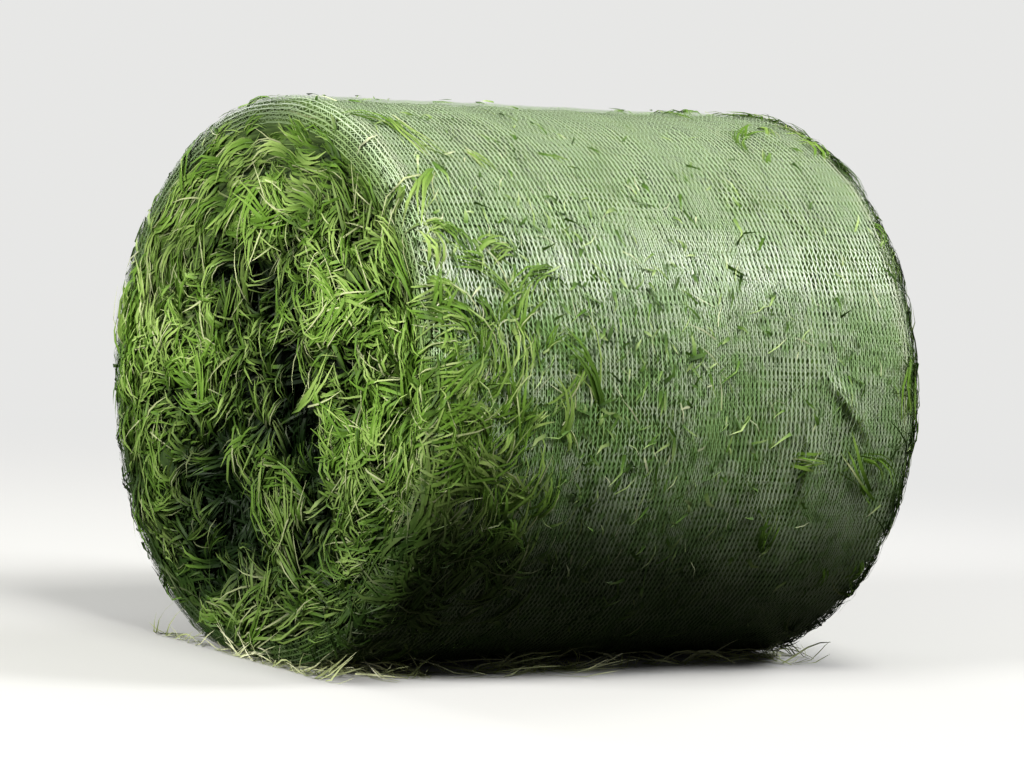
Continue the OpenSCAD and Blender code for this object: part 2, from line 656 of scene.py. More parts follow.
@dataclass(frozen=True)
class NetFinish(ForageFinish):
    """Knitted net of flat, pale, slightly shiny plastic threads, with green stuck to it below its top; its
    clean, pale top is partly painted sheen.
    """

    name: str = "knitted_net"
    thread: Colour = (0.720, 0.850, 0.600)
    stained: Colour = (0.275, 0.560, 0.130)
    # Dark colour of the stuck soil spots, and of the painted shade on the net over the end faces.
    soiled: Colour = (0.035, 0.075, 0.018)
    on_face: Colour = (0.220, 0.350, 0.090)
    # Colour of the painted highlight along the net's shoulders.
    bare: Colour = (0.880, 0.940, 0.700)
    clean_above: float = 1.10
    mottled_below: float = 0.72
    least_mottled: float = 0.12
    nearer_more: float = 0.36
    mottled_share: float = 0.77
    stains: Grain = Grain(6.0, 3.0)
    blotches: Grain = Grain(34.0, 4.0, 0.7)
    blotch_share: float = 0.68
    stuck_from: float = 0.46
    stuck_contrast: float = 11.0
    spots: Grain = Grain(40.0, 3.0, 0.6)
    spots_from: float = 0.585
    spot_contrast: float = 14.0
    spot_share: float = 0.88
    twists: Grain = Grain(260.0)
    twist_share: float = 0.3
    twist_strength: float = 0.3
    twist_height: float = 0.0006
    front_over: float = 0.25
    front_above: float = 0.40
    drawn_in: float = 0.040
    drawn_half: float = 0.015
    drawn_share: float = 0.6
    behind_from: float = -0.16
    behind_over: float = 0.20
    behind_share: float = 0.75
    behind_wider: float = 0.018
    face_in: float = 0.012
    face_over: float = 0.016
    face_share: float = 0.78
    roughness: float = 0.24
    stain_roughness: float = 0.2

    def stuck_on(self, graph: Graph, place: Socket, twist: Socket, stain: Socket) -> Socket:
        """The thread's colour with the green and the soil that stick to it, fewer towards the top and the far
        end; the clean, pale top is partly painted sheen.

        Args:
            graph: The graph to write in.
            place: The place that is shaded.
            twist: Fine noise along the thread.
            stain: Coarse noise over the net.

        Returns:
            The colour.
        """
        x, _, up = graph.parts(place)
        # Stains thin out towards the top, partly real and partly painted sheen on the top.
        low = (self.clean_above - up) / (self.clean_above - self.mottled_below)
        low = low.clamped(self.least_mottled, 1.0) * (x * -self.nearer_more + self.mottled_share)
        blotch = graph.noise(place, self.blotches) * self.blotch_share
        stuck = (stain * (1.0 - self.blotch_share) + blotch - self.stuck_from) * self.stuck_contrast
        colour = graph.mixed(stuck.clamped(0.0, 1.0) * low, self.thread, self.stained)
        spots = (graph.noise(place, self.spots) - self.spots_from) * self.spot_contrast
        colour = graph.mixed(spots.clamped(0.0, self.spot_share) * low, colour, self.soiled)
        return graph.mixed(twist * self.twist_share, colour, self.stained)

    def dress(self, graph: Graph) -> dict[str, object]:
        """Writes the finish.

        Args:
            graph: The graph to write in.

        Returns:
            What each of the shader's inputs is fed.
        """
        place = graph.object_place()
        twist = graph.noise(place, self.twists)
        stain = graph.noise(place, self.stains)
        colour = self.stuck_on(graph, place, twist, stain)
        x, y, up = graph.parts(place)
        width = abs(x)
        # Painted highlight: a pale band along the net's shoulders, on the front and top, for the sheen that
        # light gives there.
        front = (-y).rising(0.0, self.front_over) * up.rising(self.front_above, self.front_over)
        drawn = width.hump(self.sizes.half_w - self.drawn_in, self.drawn_half) * front * self.drawn_share
        colour = graph.mixed(drawn, colour, self.bare)
        # Painted shade: where the net lies over an end face, its colour darkens towards the back, away from
        # the lamps.
        behind = y.rising(self.behind_from, self.behind_over)
        past_rim = width - (self.sizes.half_w - self.face_in) + behind * self.behind_wider
        on_face = (past_rim * (1.0 / self.face_over)).clamped(0.0, self.face_share)
        face = graph.mixed(behind * self.behind_share, self.on_face, self.soiled)
        return {
            "Base Color": self.soiled_by(graph, graph.mixed(on_face, colour, face)),
            "Roughness": stain * self.stain_roughness + self.roughness,
            "Normal": graph.bump(twist, self.twist_strength, self.twist_height),
        }


@dataclass(frozen=True)
class FloorFinish(Finish):
    """A plain pale floor that fades into the pale background and throws little light back up."""

    name: str = "pale_floor"
    pale: Colour = (0.72, 0.72, 0.71)
    backdrop: Colour = (0.80, 0.80, 0.79)
    bounce: Colour = (0.06, 0.06, 0.05)
    none: Colour = (0.0, 0.0, 0.0)
    lit_to: float = 1.6
    faded_at: float = 4.5
    roughness: float = 0.9

    def dress(self, graph: Graph) -> dict[str, object]:
        """Writes the finish.

        Args:
            graph: The graph to write in.

        Returns:
            What each of the shader's inputs is fed.
        """
        seen = graph.seen()
        away = graph.vector("LENGTH", graph.object_place(), output="Value")
        far = away.rising(self.lit_to, self.faded_at - self.lit_to).smoothed()
        near = graph.mixed(seen, self.bounce, self.pale)
        return {
            "Base Color": graph.mixed(far, near, self.none),
            "Roughness": self.roughness,
            "Emission Color": graph.mixed(far * seen, self.none, self.backdrop),
            "Emission Strength": 1.0,
            "Specular IOR Level": 0.0,
        }


def plain_mesh(name: str, points: Sequence[Point], faces: Sequence[Face]) -> bpy.types.Mesh:
    """Makes a mesh.

    Args:
        name: The mesh's name.
        points: Its vertices.
        faces: Its faces, as lists of vertex numbers.

    Returns:
        The mesh.
    """
    mesh = bpy.data.meshes.new(name)
    mesh.from_pydata(points, [], faces)
    return mesh


def store(mesh: bpy.types.Mesh, name: str, domain: str, values: Sequence[float]) -> None:
    """Stores a number for each point or face of a mesh."""
    mesh.attributes.new(name, "FLOAT", domain).data.foreach_set("value", values)


def in_scene(name: str, data: bpy.types.ID) -> bpy.types.Object:
    """Makes an object and links it to the scene.

    Args:
        name: The object's name.
        data: Its mesh, camera or lamp.

    Returns:
        The object.
    """
    made = bpy.data.objects.new(name, data)
    bpy.context.scene.collection.objects.link(made)
    return made


def seat(piece: bpy.types.Object) -> bpy.types.Object:
    """Lets a finished piece ride on the bale.

    Args:
        piece: The piece.

    Returns:
        The piece.
    """
    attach(piece, BODY)
    return piece


def triangles(piece: bpy.types.Object) -> int:
    """How many triangles a piece has."""
    return sum(len(polygon.vertices) - 2 for polygon in piece.data.polygons)


@dataclass(frozen=True)
class Pit:
    """A dark hollow in an end face: its middle and half sizes, across and up, and its depth."""

    across: float
    up: float
    half_across: float
    half_up: float
    depth: float

    def at(self, across: float, up: float) -> float:
        """Depth of the hollow at a place on the end face."""
        d = ((across - self.across) / self.half_across) ** 2 + ((up - self.up) / self.half_up) ** 2
        return self.depth * math.exp(-d * d)


PITS = {
    End.NEAR: (
        Pit(across=0.12, up=-0.27, half_across=0.17, half_up=0.14, depth=0.095),
        Pit(across=0.10, up=0.22, half_across=0.13, half_up=0.065, depth=0.070),
        Pit(across=-0.12, up=-0.03, half_across=0.07, half_up=0.15, depth=0.070),
        Pit(across=-0.22, up=-0.28, half_across=0.09, half_up=0.13, depth=0.055),
    ),
    End.FAR: (
        Pit(across=-0.10, up=-0.22, half_across=0.15, half_up=0.12, depth=0.075),
        Pit(across=0.18, up=0.16, half_across=0.12, half_up=0.09, depth=0.065),
        Pit(across=-0.16, up=0.22, half_across=0.08, half_up=0.13, depth=0.055),
    ),
}

PLEATS = (
    Pleat(along=1.77, across=0.41, heading=math.radians(45), half_length=0.075, rise=0.018),
    Pleat(along=1.90, across=0.32, heading=math.radians(5), half_length=0.070, rise=0.010),
    Pleat(along=0.35, across=-0.32, heading=math.radians(60), half_length=0.110, rise=0.014),
    Pleat(along=3.30, across=0.30, heading=math.radians(-50), half_length=0.090, rise=0.012),
    Pleat(along=0.72, across=0.38, heading=math.radians(20), half_length=0.120, rise=0.012),
)


@dataclass(frozen=True)
class EndRelief:
    """How the end face departs from a smooth one: loose heaps, hollows and folds."""

    sizes: RollSizes
    pits: dict[End, tuple[Pit, ...]]
    heap: float = 0.020
    heap_scale: float = 7.0
    heap_layer: float = 7.0
    fold_share: float = 1.6
    fold_scale: float = 0.7
    fold_shift: float = 3.0
    tuft: float = 0.012
    tuft_scale: float = 20.0
    tuft_layer: float = 3.0
    crevice: float = 0.034
    crevice_scale: float = 9.0
    crevice_layer: float = 4.0
    crevice_half: float = 0.16
    wobble: float = 0.050
    wobble_scale: float = 9.0
    wobble_layer: float = 5.0
    wobble_shift: float = 43.3
    smooth_rim: float = 0.10
    combed_from: float = 0.46
    combed_over: float = 0.20
    combed_lean: float = 0.4
    combed_smooth: float = 0.9

    def combed(self, y: float, z: float) -> float:
        """How smooth the face lies at a place: 1 where the outer turns are combed along the roll."""
        upper = (z - self.sizes.axis_z + (y - self.sizes.axis_y) * self.combed_lean) / self.sizes.mat_r
        return min(1.0, max(0.0, (upper - self.combed_from) / self.combed_over))

    def inward(self, y: float, z: float, end: End) -> float:
        """How far the face is pushed in at a place.

        Args:
            y: Where the place is across the end face.
            z: Its height above the ground.
            end: Which end face.

        Returns:
            The depth in metres.
        """
        across = y - self.sizes.axis_y
        up = z - self.sizes.axis_z

        def spot(layer: float, scale: float) -> Vector:
            """The place in the noise of one kind of relief, apart for each end."""
            return Vector((end.value * layer, across * scale, up * scale))

        rim = min(1.0, max(0.0, (self.sizes.mat_r - math.hypot(across, up)) / self.smooth_rim))
        heap = spot(self.heap_layer, self.heap_scale)
        heaps = noise.noise(heap) * self.heap
        creased = heap * self.fold_scale + Vector((self.fold_shift, 0.0, 0.0))
        folds = abs(noise.noise(creased)) * self.heap * self.fold_share
        tufts = noise.noise(spot(self.tuft_layer, self.tuft_scale)) * self.tuft
        off = abs(noise.noise(spot(self.crevice_layer, self.crevice_scale)))
        crevices = max(0.0, 1.0 - off / self.crevice_half) * self.crevice
        stray = spot(self.wobble_layer, self.wobble_scale)
        aside = noise.noise(stray + Vector((self.wobble_shift, 0.0, 0.0))) * self.wobble
        above = noise.noise(stray + Vector((0.0, self.wobble_shift, 0.0))) * self.wobble
        pits = sum(pit.at(across + aside, up + above) for pit in self.pits[end])
        loose = 1.0 - self.combed_smooth * self.combed(y, z)
        return rim * (heaps + folds + tufts + crevices + pits) * loose


@dataclass
class RolledMat:
    """The mat of forage: its core, its turns and its two wedges, with loose, uneven edges."""

    sizes: RollSizes
    relief: EndRelief
    finish: MatFinish
    around: int = 180
    least_steps: int = 8
    edge_points: int = 9
    side_inset: float = 0.0065
    seam: float = 0.001
    tip: float = 0.006
    least_tip: float = 0.001
    combed_flat: float = 0.6
    core_rings: int = 22
    core_around: int = 112
    folds: int = 7
    fold_curl: float = math.radians(38)
    crease_depth: float = 0.040
    crease_half: float = 0.010
    hollow_r: float = 0.030
    hollow_depth: float = 0.060
    core_dip: float = 0.034
    crests: tuple[float, ...] = (-0.004, 0.005, -0.002, 0.006, -0.003, 0.0, 0.0)

    def build(self) -> list[bpy.types.Object]:
        """Makes the core and every turn.

        Returns:
            The pieces, from the core outwards.
        """
        sizes = self.sizes
        wedge = math.acos(2 * self.tip / sizes.pitch - 1)
        full = math.tau - self.seam
        side_r = sizes.mat_r - self.side_inset
        made = [self.core(), self.winding(
            "mat_start", 0.0, math.tau - wedge, full,
            lambda a: sizes.over_r(sizes.core_r, a),
            lambda a: sizes.layer_r(0, a),
        )]
        for turn in range(1, sizes.turns + 1):
            made.append(self.winding(
                f"mat_turn_{turn}", self.crests[turn - 1], 0.0, full,
                lambda a, t=turn: sizes.layer_r(t - 1, a),
                lambda a, t=turn: min(sizes.layer_r(t, a), side_r),
            ))
        made.append(self.winding(
            "mat_tail", 0.0, 0.0, wedge,
            lambda a: sizes.layer_r(sizes.turns, a),
            lambda a: max(side_r, sizes.layer_r(sizes.turns, a) + self.least_tip),
        ))
        return made

    def edge_x(self, r: float, angle: float, share: float, crest: float, end: End) -> float:
        """How far out the edge of a turn stands at a place.

        Args:
            r: Distance from the roll's axis.
            angle: Angle about the axis.
            share: Place across the turn's thickness, 0 at its inside and 1 at its outside.
            crest: How far this turn's edge stands out of the swell.
            end: Which end face.

        Returns:
            Distance from the bale's middle, along the axis.
        """
        sizes = self.sizes
        place = sizes.place(0.0, r, angle)
        depth = sizes.edge_depth * (1.0 - self.combed_flat * self.relief.combed(place.y, place.z))
        x = sizes.half_w + sizes.swell(r) + crest
        x -= depth * (1.0 - math.sqrt(max(0.0, 1.0 - (2.0 * share - 1.0) ** 2)))
        over = r - (sizes.mat_r - sizes.shoulder)
        if over > 0:
            x -= sizes.shoulder - math.sqrt(max(0.0, sizes.shoulder ** 2 - over * over))
        return x - self.relief.inward(place.y, place.z, end)

    def winding(self, node: str, crest: float, start: float, stop: float,
                inner: Callable[[float], float], outer: Callable[[float], float]) -> bpy.types.Object:
        """Makes one turn or wedge of the mat.

        Args:
            node: The CAD node that it stands for.
            crest: How far its edge stands out of the swell.
            start: Angle at which it starts.
            stop: Angle at which it ends.
            inner: Radius of its inside at an angle.
            outer: Radius of its outside at an angle.

        Returns:
            The piece.
        """
        steps = max(self.least_steps, round(self.around * (stop - start) / math.tau))
        last = self.edge_points - 1
        shares = [(1 - math.cos(math.pi * i / last)) / 2 for i in range(self.edge_points)]
        section = [(End.NEAR, s) for s in shares] + [(End.FAR, s) for s in reversed(shares)]
        points = []
        for step in range(steps + 1):
            angle = start + (stop - start) * step / steps
            r_in = inner(angle)
            r_out = outer(angle)
            for end, share in section:
                r = r_in + (r_out - r_in) * share
                x = end.value * self.edge_x(r, angle, share, crest, end)
                point = self.sizes.place(x, r, angle)
                point.z = max(point.z, self.sizes.base_z + self.side_inset)
                points.append(point)
        n = len(section)
        faces = [
            (row * n + i, row * n + (i + 1) % n, (row + 1) * n + (i + 1) % n, (row + 1) * n + i)
            for row in range(steps) for i in range(n)
        ]
        faces.append(tuple(range(n)))
        faces.append(tuple(reversed(range(steps * n, (steps + 1) * n))))
        return self.closed(f"{node}_grass", points, faces, [node])

    def core(self) -> bpy.types.Object:
        """Makes the core, with curled creases between its folds and a hollow in its middle.

        Returns:
            The piece.
        """
        sizes = self.sizes
        centre_y = sizes.axis_y - sizes.pitch / 2
        n = self.core_around
        points = []
        for end in (End.NEAR, End.FAR):
            points.append(Vector((end.value * self.core_x(0.0, 0.0, end), centre_y, sizes.axis_z)))
            for ring in range(1, self.core_rings + 1):
                r = sizes.core_r * ring / self.core_rings
                for step in range(n):
                    angle = math.tau * step / n
                    y = centre_y + r * math.cos(angle)
                    z = sizes.axis_z + r * math.sin(angle)
                    points.append(Vector((end.value * self.core_x(r, angle, end), y, z)))
        half = 1 + self.core_rings * n
        faces = []
        for base in (0, half):
            faces += [(base, base + 1 + i, base + 1 + (i + 1) % n) for i in range(n)]
            for ring in range(self.core_rings - 1):
                a = base + 1 + ring * n
                faces += [(a + i, a + n + i, a + n + (i + 1) % n, a + (i + 1) % n) for i in range(n)]
        rim = 1 + (self.core_rings - 1) * n
        faces += [(rim + i, rim + (i + 1) % n, half + rim + (i + 1) % n, half + rim + i) for i in range(n)]
        folds = [f"core_fold_{i + 1}" for i in range(self.folds)]
        return self.closed("core_grass", points, faces, folds)

    def core_x(self, r: float, angle: float, end: End) -> float:
        """How far out the core's end stands at a place.

        Args:
            r: Distance from the core's own axis.
            angle: Angle about that axis.
            end: Which end face.

        Returns:
            Distance from the bale's middle, along the axis.
        """
        sizes = self.sizes
        dish = self.core_dip * math.cos(math.pi / 2 * r / sizes.core_r) ** 2
        curl = self.fold_curl * r / sizes.core_r
        share = math.tau / self.folds
        off = (angle - curl + share / 2) % share - share / 2
        crease = self.crease_depth * math.exp(-(off * r / self.crease_half) ** 2)
        hollow = self.hollow_depth * math.exp(-(r / self.hollow_r) ** 4)
        y = sizes.axis_y - sizes.pitch / 2 + r * math.cos(angle)
        z = sizes.axis_z + r * math.sin(angle)
        return sizes.core_half_w - dish - max(crease, hollow) - self.relief.inward(y, z, end)

    def closed(self, name: str, points: list[Vector], faces: list[Face],
               nodes: list[str]) -> bpy.types.Object:
        """Makes a closed piece that stands for CAD nodes, with its faces turned outwards.

        Args:
            name: The piece's name.
            points: Its vertices.
            faces: Its faces, as lists of vertex numbers.
            nodes: The CAD nodes that it stands for.

        Returns:
            The piece.
        """
        mesh = plain_mesh(name, points, faces)
        mesh.materials.append(self.finish.material())
        mesh.shade_smooth()
        work = bmesh.new()
        work.from_mesh(mesh)
        bmesh.ops.recalc_face_normals(work, faces=work.faces)
        work.to_mesh(mesh)
        work.free()
        made = seat(in_scene(name, mesh))
        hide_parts(*nodes)
        return made


@dataclass(frozen=True)
class TuftForm:
    """What a tuft of grass is made of, in metres and radians: blades that bend together.

    The ranges of a blade's length, arch and start are shares of its tuft's, and so are the widths of a stalk
    and of a blade's tip.
    """

    blades: int
    length: tuple[float, float]
    width: tuple[float, float]
    bend: tuple[float, float]
    arch: float
    spread: float
    fan: float
    stray: float
    segments: int = 4
    tip_up: float = 0.4
    tip_up_at: float = 0.62
    stalks: float = 0.12
    stalk_tone: float = 3.0
    stalk_width: float = 0.6
    tip_width: float = 0.15
    own_length: tuple[float, float] = (0.6, 1.1)
    own_arch: tuple[float, float] = (0.6, 1.25)
    own_start: tuple[float, float] = (-0.6, -0.4)
    own_roll: tuple[float, float] = (-1.2, 1.2)
    sunk: float = 0.25
    uneven: float = 0.4

    def tuft(self, name: str, draw: random.Random) -> bpy.types.Object:
        """Makes one tuft that lies along X and rises along Z.

        Args:
            name: The tuft's name.
            draw: Where its random numbers come from.

        Returns:
            An object that isn't linked to the scene.
        """
        bend = draw.uniform(*self.bend) * draw.choice((-1.0, 1.0))
        length = draw.uniform(*self.length)
        arched = self.tip_up_at if draw.random() < self.tip_up else 1.0
        points: list[Vector] = []
        tones: list[float] = []
        for _ in range(self.blades):
            edges, tone = self.blade(draw, bend, length, arched)
            points.extend(edges)
            tones.extend([tone] * len(edges))
        row = 2 * (self.segments + 1)
        faces = [
            (base + 2 * i, base + 2 * i + 2, base + 2 * i + 3, base + 2 * i + 1)
            for base in range(0, len(points), row) for i in range(self.segments)
        ]
        mesh = plain_mesh(name, points, faces)
        store(mesh, "along", "POINT", [i // 2 / self.segments for i in range(row)] * self.blades)
        store(mesh, "blade", "POINT", tones)
        mesh.shade_smooth()
        return bpy.data.objects.new(name, mesh)

    def blade(self, draw: random.Random, bend: float, length: float,
              arched: float) -> tuple[list[Vector], float]:
        """Makes one blade: a strip that arches up and bends with its tuft, narrow at its tip.

        Args:
            draw: Where its random numbers come from.
            bend: How far its tuft bends.
            length: How long its tuft is.
            arched: Share of the arch that it follows.

        Returns:
            The points along both its edges, in pairs, and its tone.
        """
        own = length * draw.uniform(*self.own_length)
        width = draw.uniform(*self.width)
        heading = draw.gauss(-bend / 2, self.fan)
        turning = bend + draw.gauss(0.0, self.stray)
        rise = self.arch * draw.uniform(*self.own_arch)
        roll = draw.uniform(*self.own_roll)
        place = Vector((draw.uniform(*self.own_start) * length, draw.gauss(0.0, self.spread),
                        draw.gauss(-self.sunk * self.arch, self.uneven * self.spread)))
        tone = draw.random()
        if draw.random() < self.stalks:
            tone = self.stalk_tone
            width *= self.stalk_width
        edges = []
        for i in range(self.segments + 1):
            t = i / self.segments
            turn = heading + turning * t
            up = math.sin(math.pi * t * arched) * rise
            side = Vector((-math.sin(turn), math.cos(turn), 0.0)) * math.cos(roll + t)
            side.z = math.sin(roll + t)
            half = side * width * 0.5 * (1.0 - (1.0 - self.tip_width) * t ** 3)
            here = place + Vector((0.0, 0.0, up))
            edges += [here - half, here + half]
            place = place + Vector((math.cos(turn), math.sin(turn), 0.0)) * (own / self.segments)
        return edges, tone


LOOSE = TuftForm(blades=9, length=(0.07, 0.17), width=(0.0035, 0.0080), bend=(0.3, 2.0), arch=0.034,
                 spread=0.0065, fan=0.15, stray=0.25)
PRESSED = TuftForm(blades=8, length=(0.08, 0.20), width=(0.0035, 0.0075), bend=(0.0, 0.9), arch=0.014,
                   spread=0.018, fan=0.30, stray=0.30, segments=3)
STEMS = TuftForm(blades=3, length=(0.10, 0.20), width=(0.0025, 0.0050), bend=(0.1, 1.0), arch=0.020,
                 spread=0.012, fan=0.5, stray=0.4, tip_up=0.7, segments=5)
BITS = TuftForm(blades=1, length=(0.020, 0.060), width=(0.004, 0.009), bend=(0.0, 0.8), arch=0.004,
                spread=0.001, fan=0.2, stray=0.3, segments=2, stalks=0.25)


class TuftStock:
    """A hidden collection of tufts for Geometry Nodes to pick from."""

    def __init__(self, name: str, form: TuftForm, kinds: int, seed: int) -> None:
        """Makes the tufts.

        Args:
            name: The collection's name.
            form: What each tuft is made of.
            kinds: How many different tufts there are.
            seed: Seed of their random numbers.
        """
        draw = random.Random(seed)
        self.collection = bpy.data.collections.new(name)
        for i in range(kinds):
            self.collection.objects.link(form.tuft(f"{name}_{i}", draw))

    def clear(self) -> None:
        """Removes the tufts once they have been used."""
        for made in list(self.collection.objects):
            bpy.data.meshes.remove(made.data)
        bpy.data.collections.remove(self.collection)


class GeometryTree(Graph):
    """A Geometry Nodes tree with named inputs, to be run once on a mesh."""

    def __init__(self, name: str, inputs: dict[str, object]) -> None:
        """Makes the tree and its inputs.

        Args:
            name: The tree's name.
            inputs: Values of the modifier's inputs by name. A collection is an input too.
        """
        super().__init__(bpy.data.node_groups.new(name, "GeometryNodeTree"))
        self.values = inputs
        sockets = self.tree.interface
        for direction in ("INPUT", "OUTPUT"):
            sockets.new_socket("Geometry", in_out=direction, socket_type="NodeSocketGeometry")
        for key, value in inputs.items():
            sockets.new_socket(key, in_out="INPUT", socket_type=self.kind_of(value))
        self.given = self.tree.nodes.new("NodeGroupInput")
        self.result = self.tree.nodes.new("NodeGroupOutput")

    @staticmethod
    def kind_of(value: object) -> str:
        """The type of the socket that holds a value."""
        kinds = ((bpy.types.Collection, "Collection"), (bpy.types.Material, "Material"), (int, "Int"))
        return "NodeSocket" + next((word for kind, word in kinds if isinstance(value, kind)), "Float")

    def given_as(self, name: str) -> Socket:
        """One of the tree's inputs."""
        return Socket(self, self.given.outputs[name])

    @property
    def position(self) -> Socket:
        """Where each point is."""
        return self.out("GeometryNodeInputPosition")

    def chance(self, low: float, high: float, seed: int) -> Socket:
        """A random number for each element."""
        inputs = {2: low, 3: high, "Seed": seed}
        return self.out("FunctionNodeRandomValue", {"data_type": "FLOAT"}, inputs, 1)

    def either_way(self, seed: int) -> Socket:
        """Half a turn for every other tuft, by chance."""
        return self.math("ROUND", self.chance(0.0, 1.0, seed)) * math.pi

    def real(self, geometry: Socket) -> Socket:
        """Makes instances real."""
        return self.out("GeometryNodeRealizeInstances", inputs={0: geometry})

    def scattered(self, seed: int, share: Socket | float, spin: Socket, size: Socket) -> Socket:
        """Scatters the tree's tufts over the given mesh, at the density that the tree is given.

        Args:
            seed: Seed of their places.
            share: Share of that density at each place.
            spin: Each tuft's rotation.
            size: Each tuft's scale.

        Returns:
            The tufts, made real, each with its own tint.
        """
        spots = self.out("GeometryNodeDistributePointsOnFaces", {"distribute_method": "RANDOM"}, {
            "Mesh": self.given_as("Geometry"), "Density": self.given_as("Density") * share, "Seed": seed,
        })
        kinds = self.out("GeometryNodeCollectionInfo", inputs={
            "Collection": self.given_as("Tufts"), "Separate Children": True, "Reset Children": True,
        })
        tufts = self.out("GeometryNodeInstanceOnPoints", inputs={
            "Points": spots, "Instance": kinds, "Pick Instance": True, "Rotation": spin, "Scale": size,
        })
        tinted = self.out("GeometryNodeStoreNamedAttribute", {"data_type": "FLOAT", "domain": "INSTANCE"}, {
            "Geometry": tufts, "Name": "tint", "Value": self.chance(0.0, 1.0, seed + 1),
        })
        return self.real(tinted)

    def run(self, mesh: bpy.types.Mesh, name: str, geometry: Socket, position: Socket,
            slot: str) -> bpy.types.Object:
        """Runs the tree on a mesh and keeps what it makes as a plain mesh.

        Args:
            mesh: What goes into the tree.
            name: The finished piece's name.
            geometry: The tree's geometry, before its points are put in place.
            position: Where each of its points goes.
            slot: The record's material slot; not used.

        Returns:
            The finished piece, without a modifier and riding on the bale.
        """
        placed = self.out("GeometryNodeSetPosition", inputs={"Geometry": geometry, "Position": position})
        dressed = self.out("GeometryNodeSetMaterial", inputs={
            "Geometry": self.real(placed), "Material": self.given_as("Finish"),
        })
        self.fill(self.result, {0: dressed})
        source = in_scene(f"{name}_source", mesh)
        modifier = source.modifiers.new("Geometry", "NODES")
        modifier.node_group = self.tree
        for item in self.tree.interface.items_tree:
            if item.in_out == "INPUT" and item.name in self.values:
                modifier[item.identifier] = self.values[item.name]
        bpy.context.view_layer.update()
        depsgraph = bpy.context.evaluated_depsgraph_get()
        made_mesh = bpy.data.meshes.new_from_object(source.evaluated_get(depsgraph), depsgraph=depsgraph)
        made_mesh.name = name
        made = in_scene(name, made_mesh)
        bpy.data.objects.remove(source)
        bpy.data.node_groups.remove(self.tree)
        return seat(made)


@dataclass(frozen=True)
class Wrapping:
    """Lays flat work on the roll: x along the wrapping, y across the bale and z off the mat."""

    sizes: RollSizes
    pleats: tuple[Pleat, ...] = ()
    lump: float = 0.009
    lumps: Grain = Grain(7.0)
    ripple: float = 0.0022
    ripples: Grain = Grain(26.0, 1.0)
    ring_share: float = 0.5
    off_ground: float = 0.0004

    @property
    def straight(self) -> float:
        """Half the width of the round side between the shoulders."""
        return self.sizes.half_w - self.sizes.shoulder

    @property
    def half_width(self) -> float:
        """Half the way across the net, over a shoulder and down to its edge."""
        return self.straight + self.sizes.shoulder * math.pi / 2 + self.sizes.net_lip - self.sizes.shoulder

    @property
    def length(self) -> float:
        """Once round the mat."""
        return math.tau * self.sizes.mat_r

    def apply(self, tree: GeometryTree, flat: Socket, follow: float, growth: float) -> Socket:
        """Writes the maths that lays flat positions on the roll.

        Args:
            tree: The tree to write in.
            flat: The flat position.
            follow: How much of the mat's lumps the work follows, from 0 to 1.
            growth: How much further off the mat each whole turn lies.

        Returns:
            The position on the roll.
        """
        sizes = self.sizes
        quarter = sizes.shoulder * math.pi / 2
        u, v, h = tree.parts(flat)
        angle = u / sizes.mat_r
        round_once = tree.math("MODULO", u, self.length)
        h = h + angle * (growth / math.tau)
        width = abs(v)
        lean = (width - self.straight).clamped(0.0, quarter) / sizes.shoulder
        lip = (width - (self.straight + quarter)).at_least(0.0)
        cos_a = tree.math("COSINE", angle)
        sin_a = tree.math("SINE", angle)
        ring_r = sizes.mat_r * self.ring_share
        ring = tree.xyz(v, cos_a * ring_r, sin_a * ring_r)
        lumps = tree.swing(ring, self.lumps, 2.0 * self.lump * follow)
        rise = h + lumps + tree.swing(ring, self.ripples, 2.0 * self.ripple * follow)
        for pleat in self.pleats:
            rise = rise + pleat.height(round_once, v)
        reach = rise + sizes.shoulder
        x = tree.math("SIGN", v) * (width.at_most(self.straight) + reach * tree.math("SINE", lean))
        r = reach * tree.math("COSINE", lean) + (sizes.mat_r - sizes.shoulder) - lip
        z = r * sin_a + sizes.axis_z
        ground = (h + sizes.base_z).at_least(self.off_ground)
        return tree.xyz(x, r * cos_a + sizes.axis_y, z.at_least(ground))


@dataclass(frozen=True)
class Patches:
    """Where loose grass lies thick or thin: noise times a gain, less a cut, and never under a least share."""

    grain: Grain
    gain: float
    cut: float
    least: float

    def at(self, tree: GeometryTree) -> Socket:
        """Share of the full density at each place."""
        return (tree.noise(tree.position, self.grain) * self.gain - self.cut).clamped(self.least, 1.0)


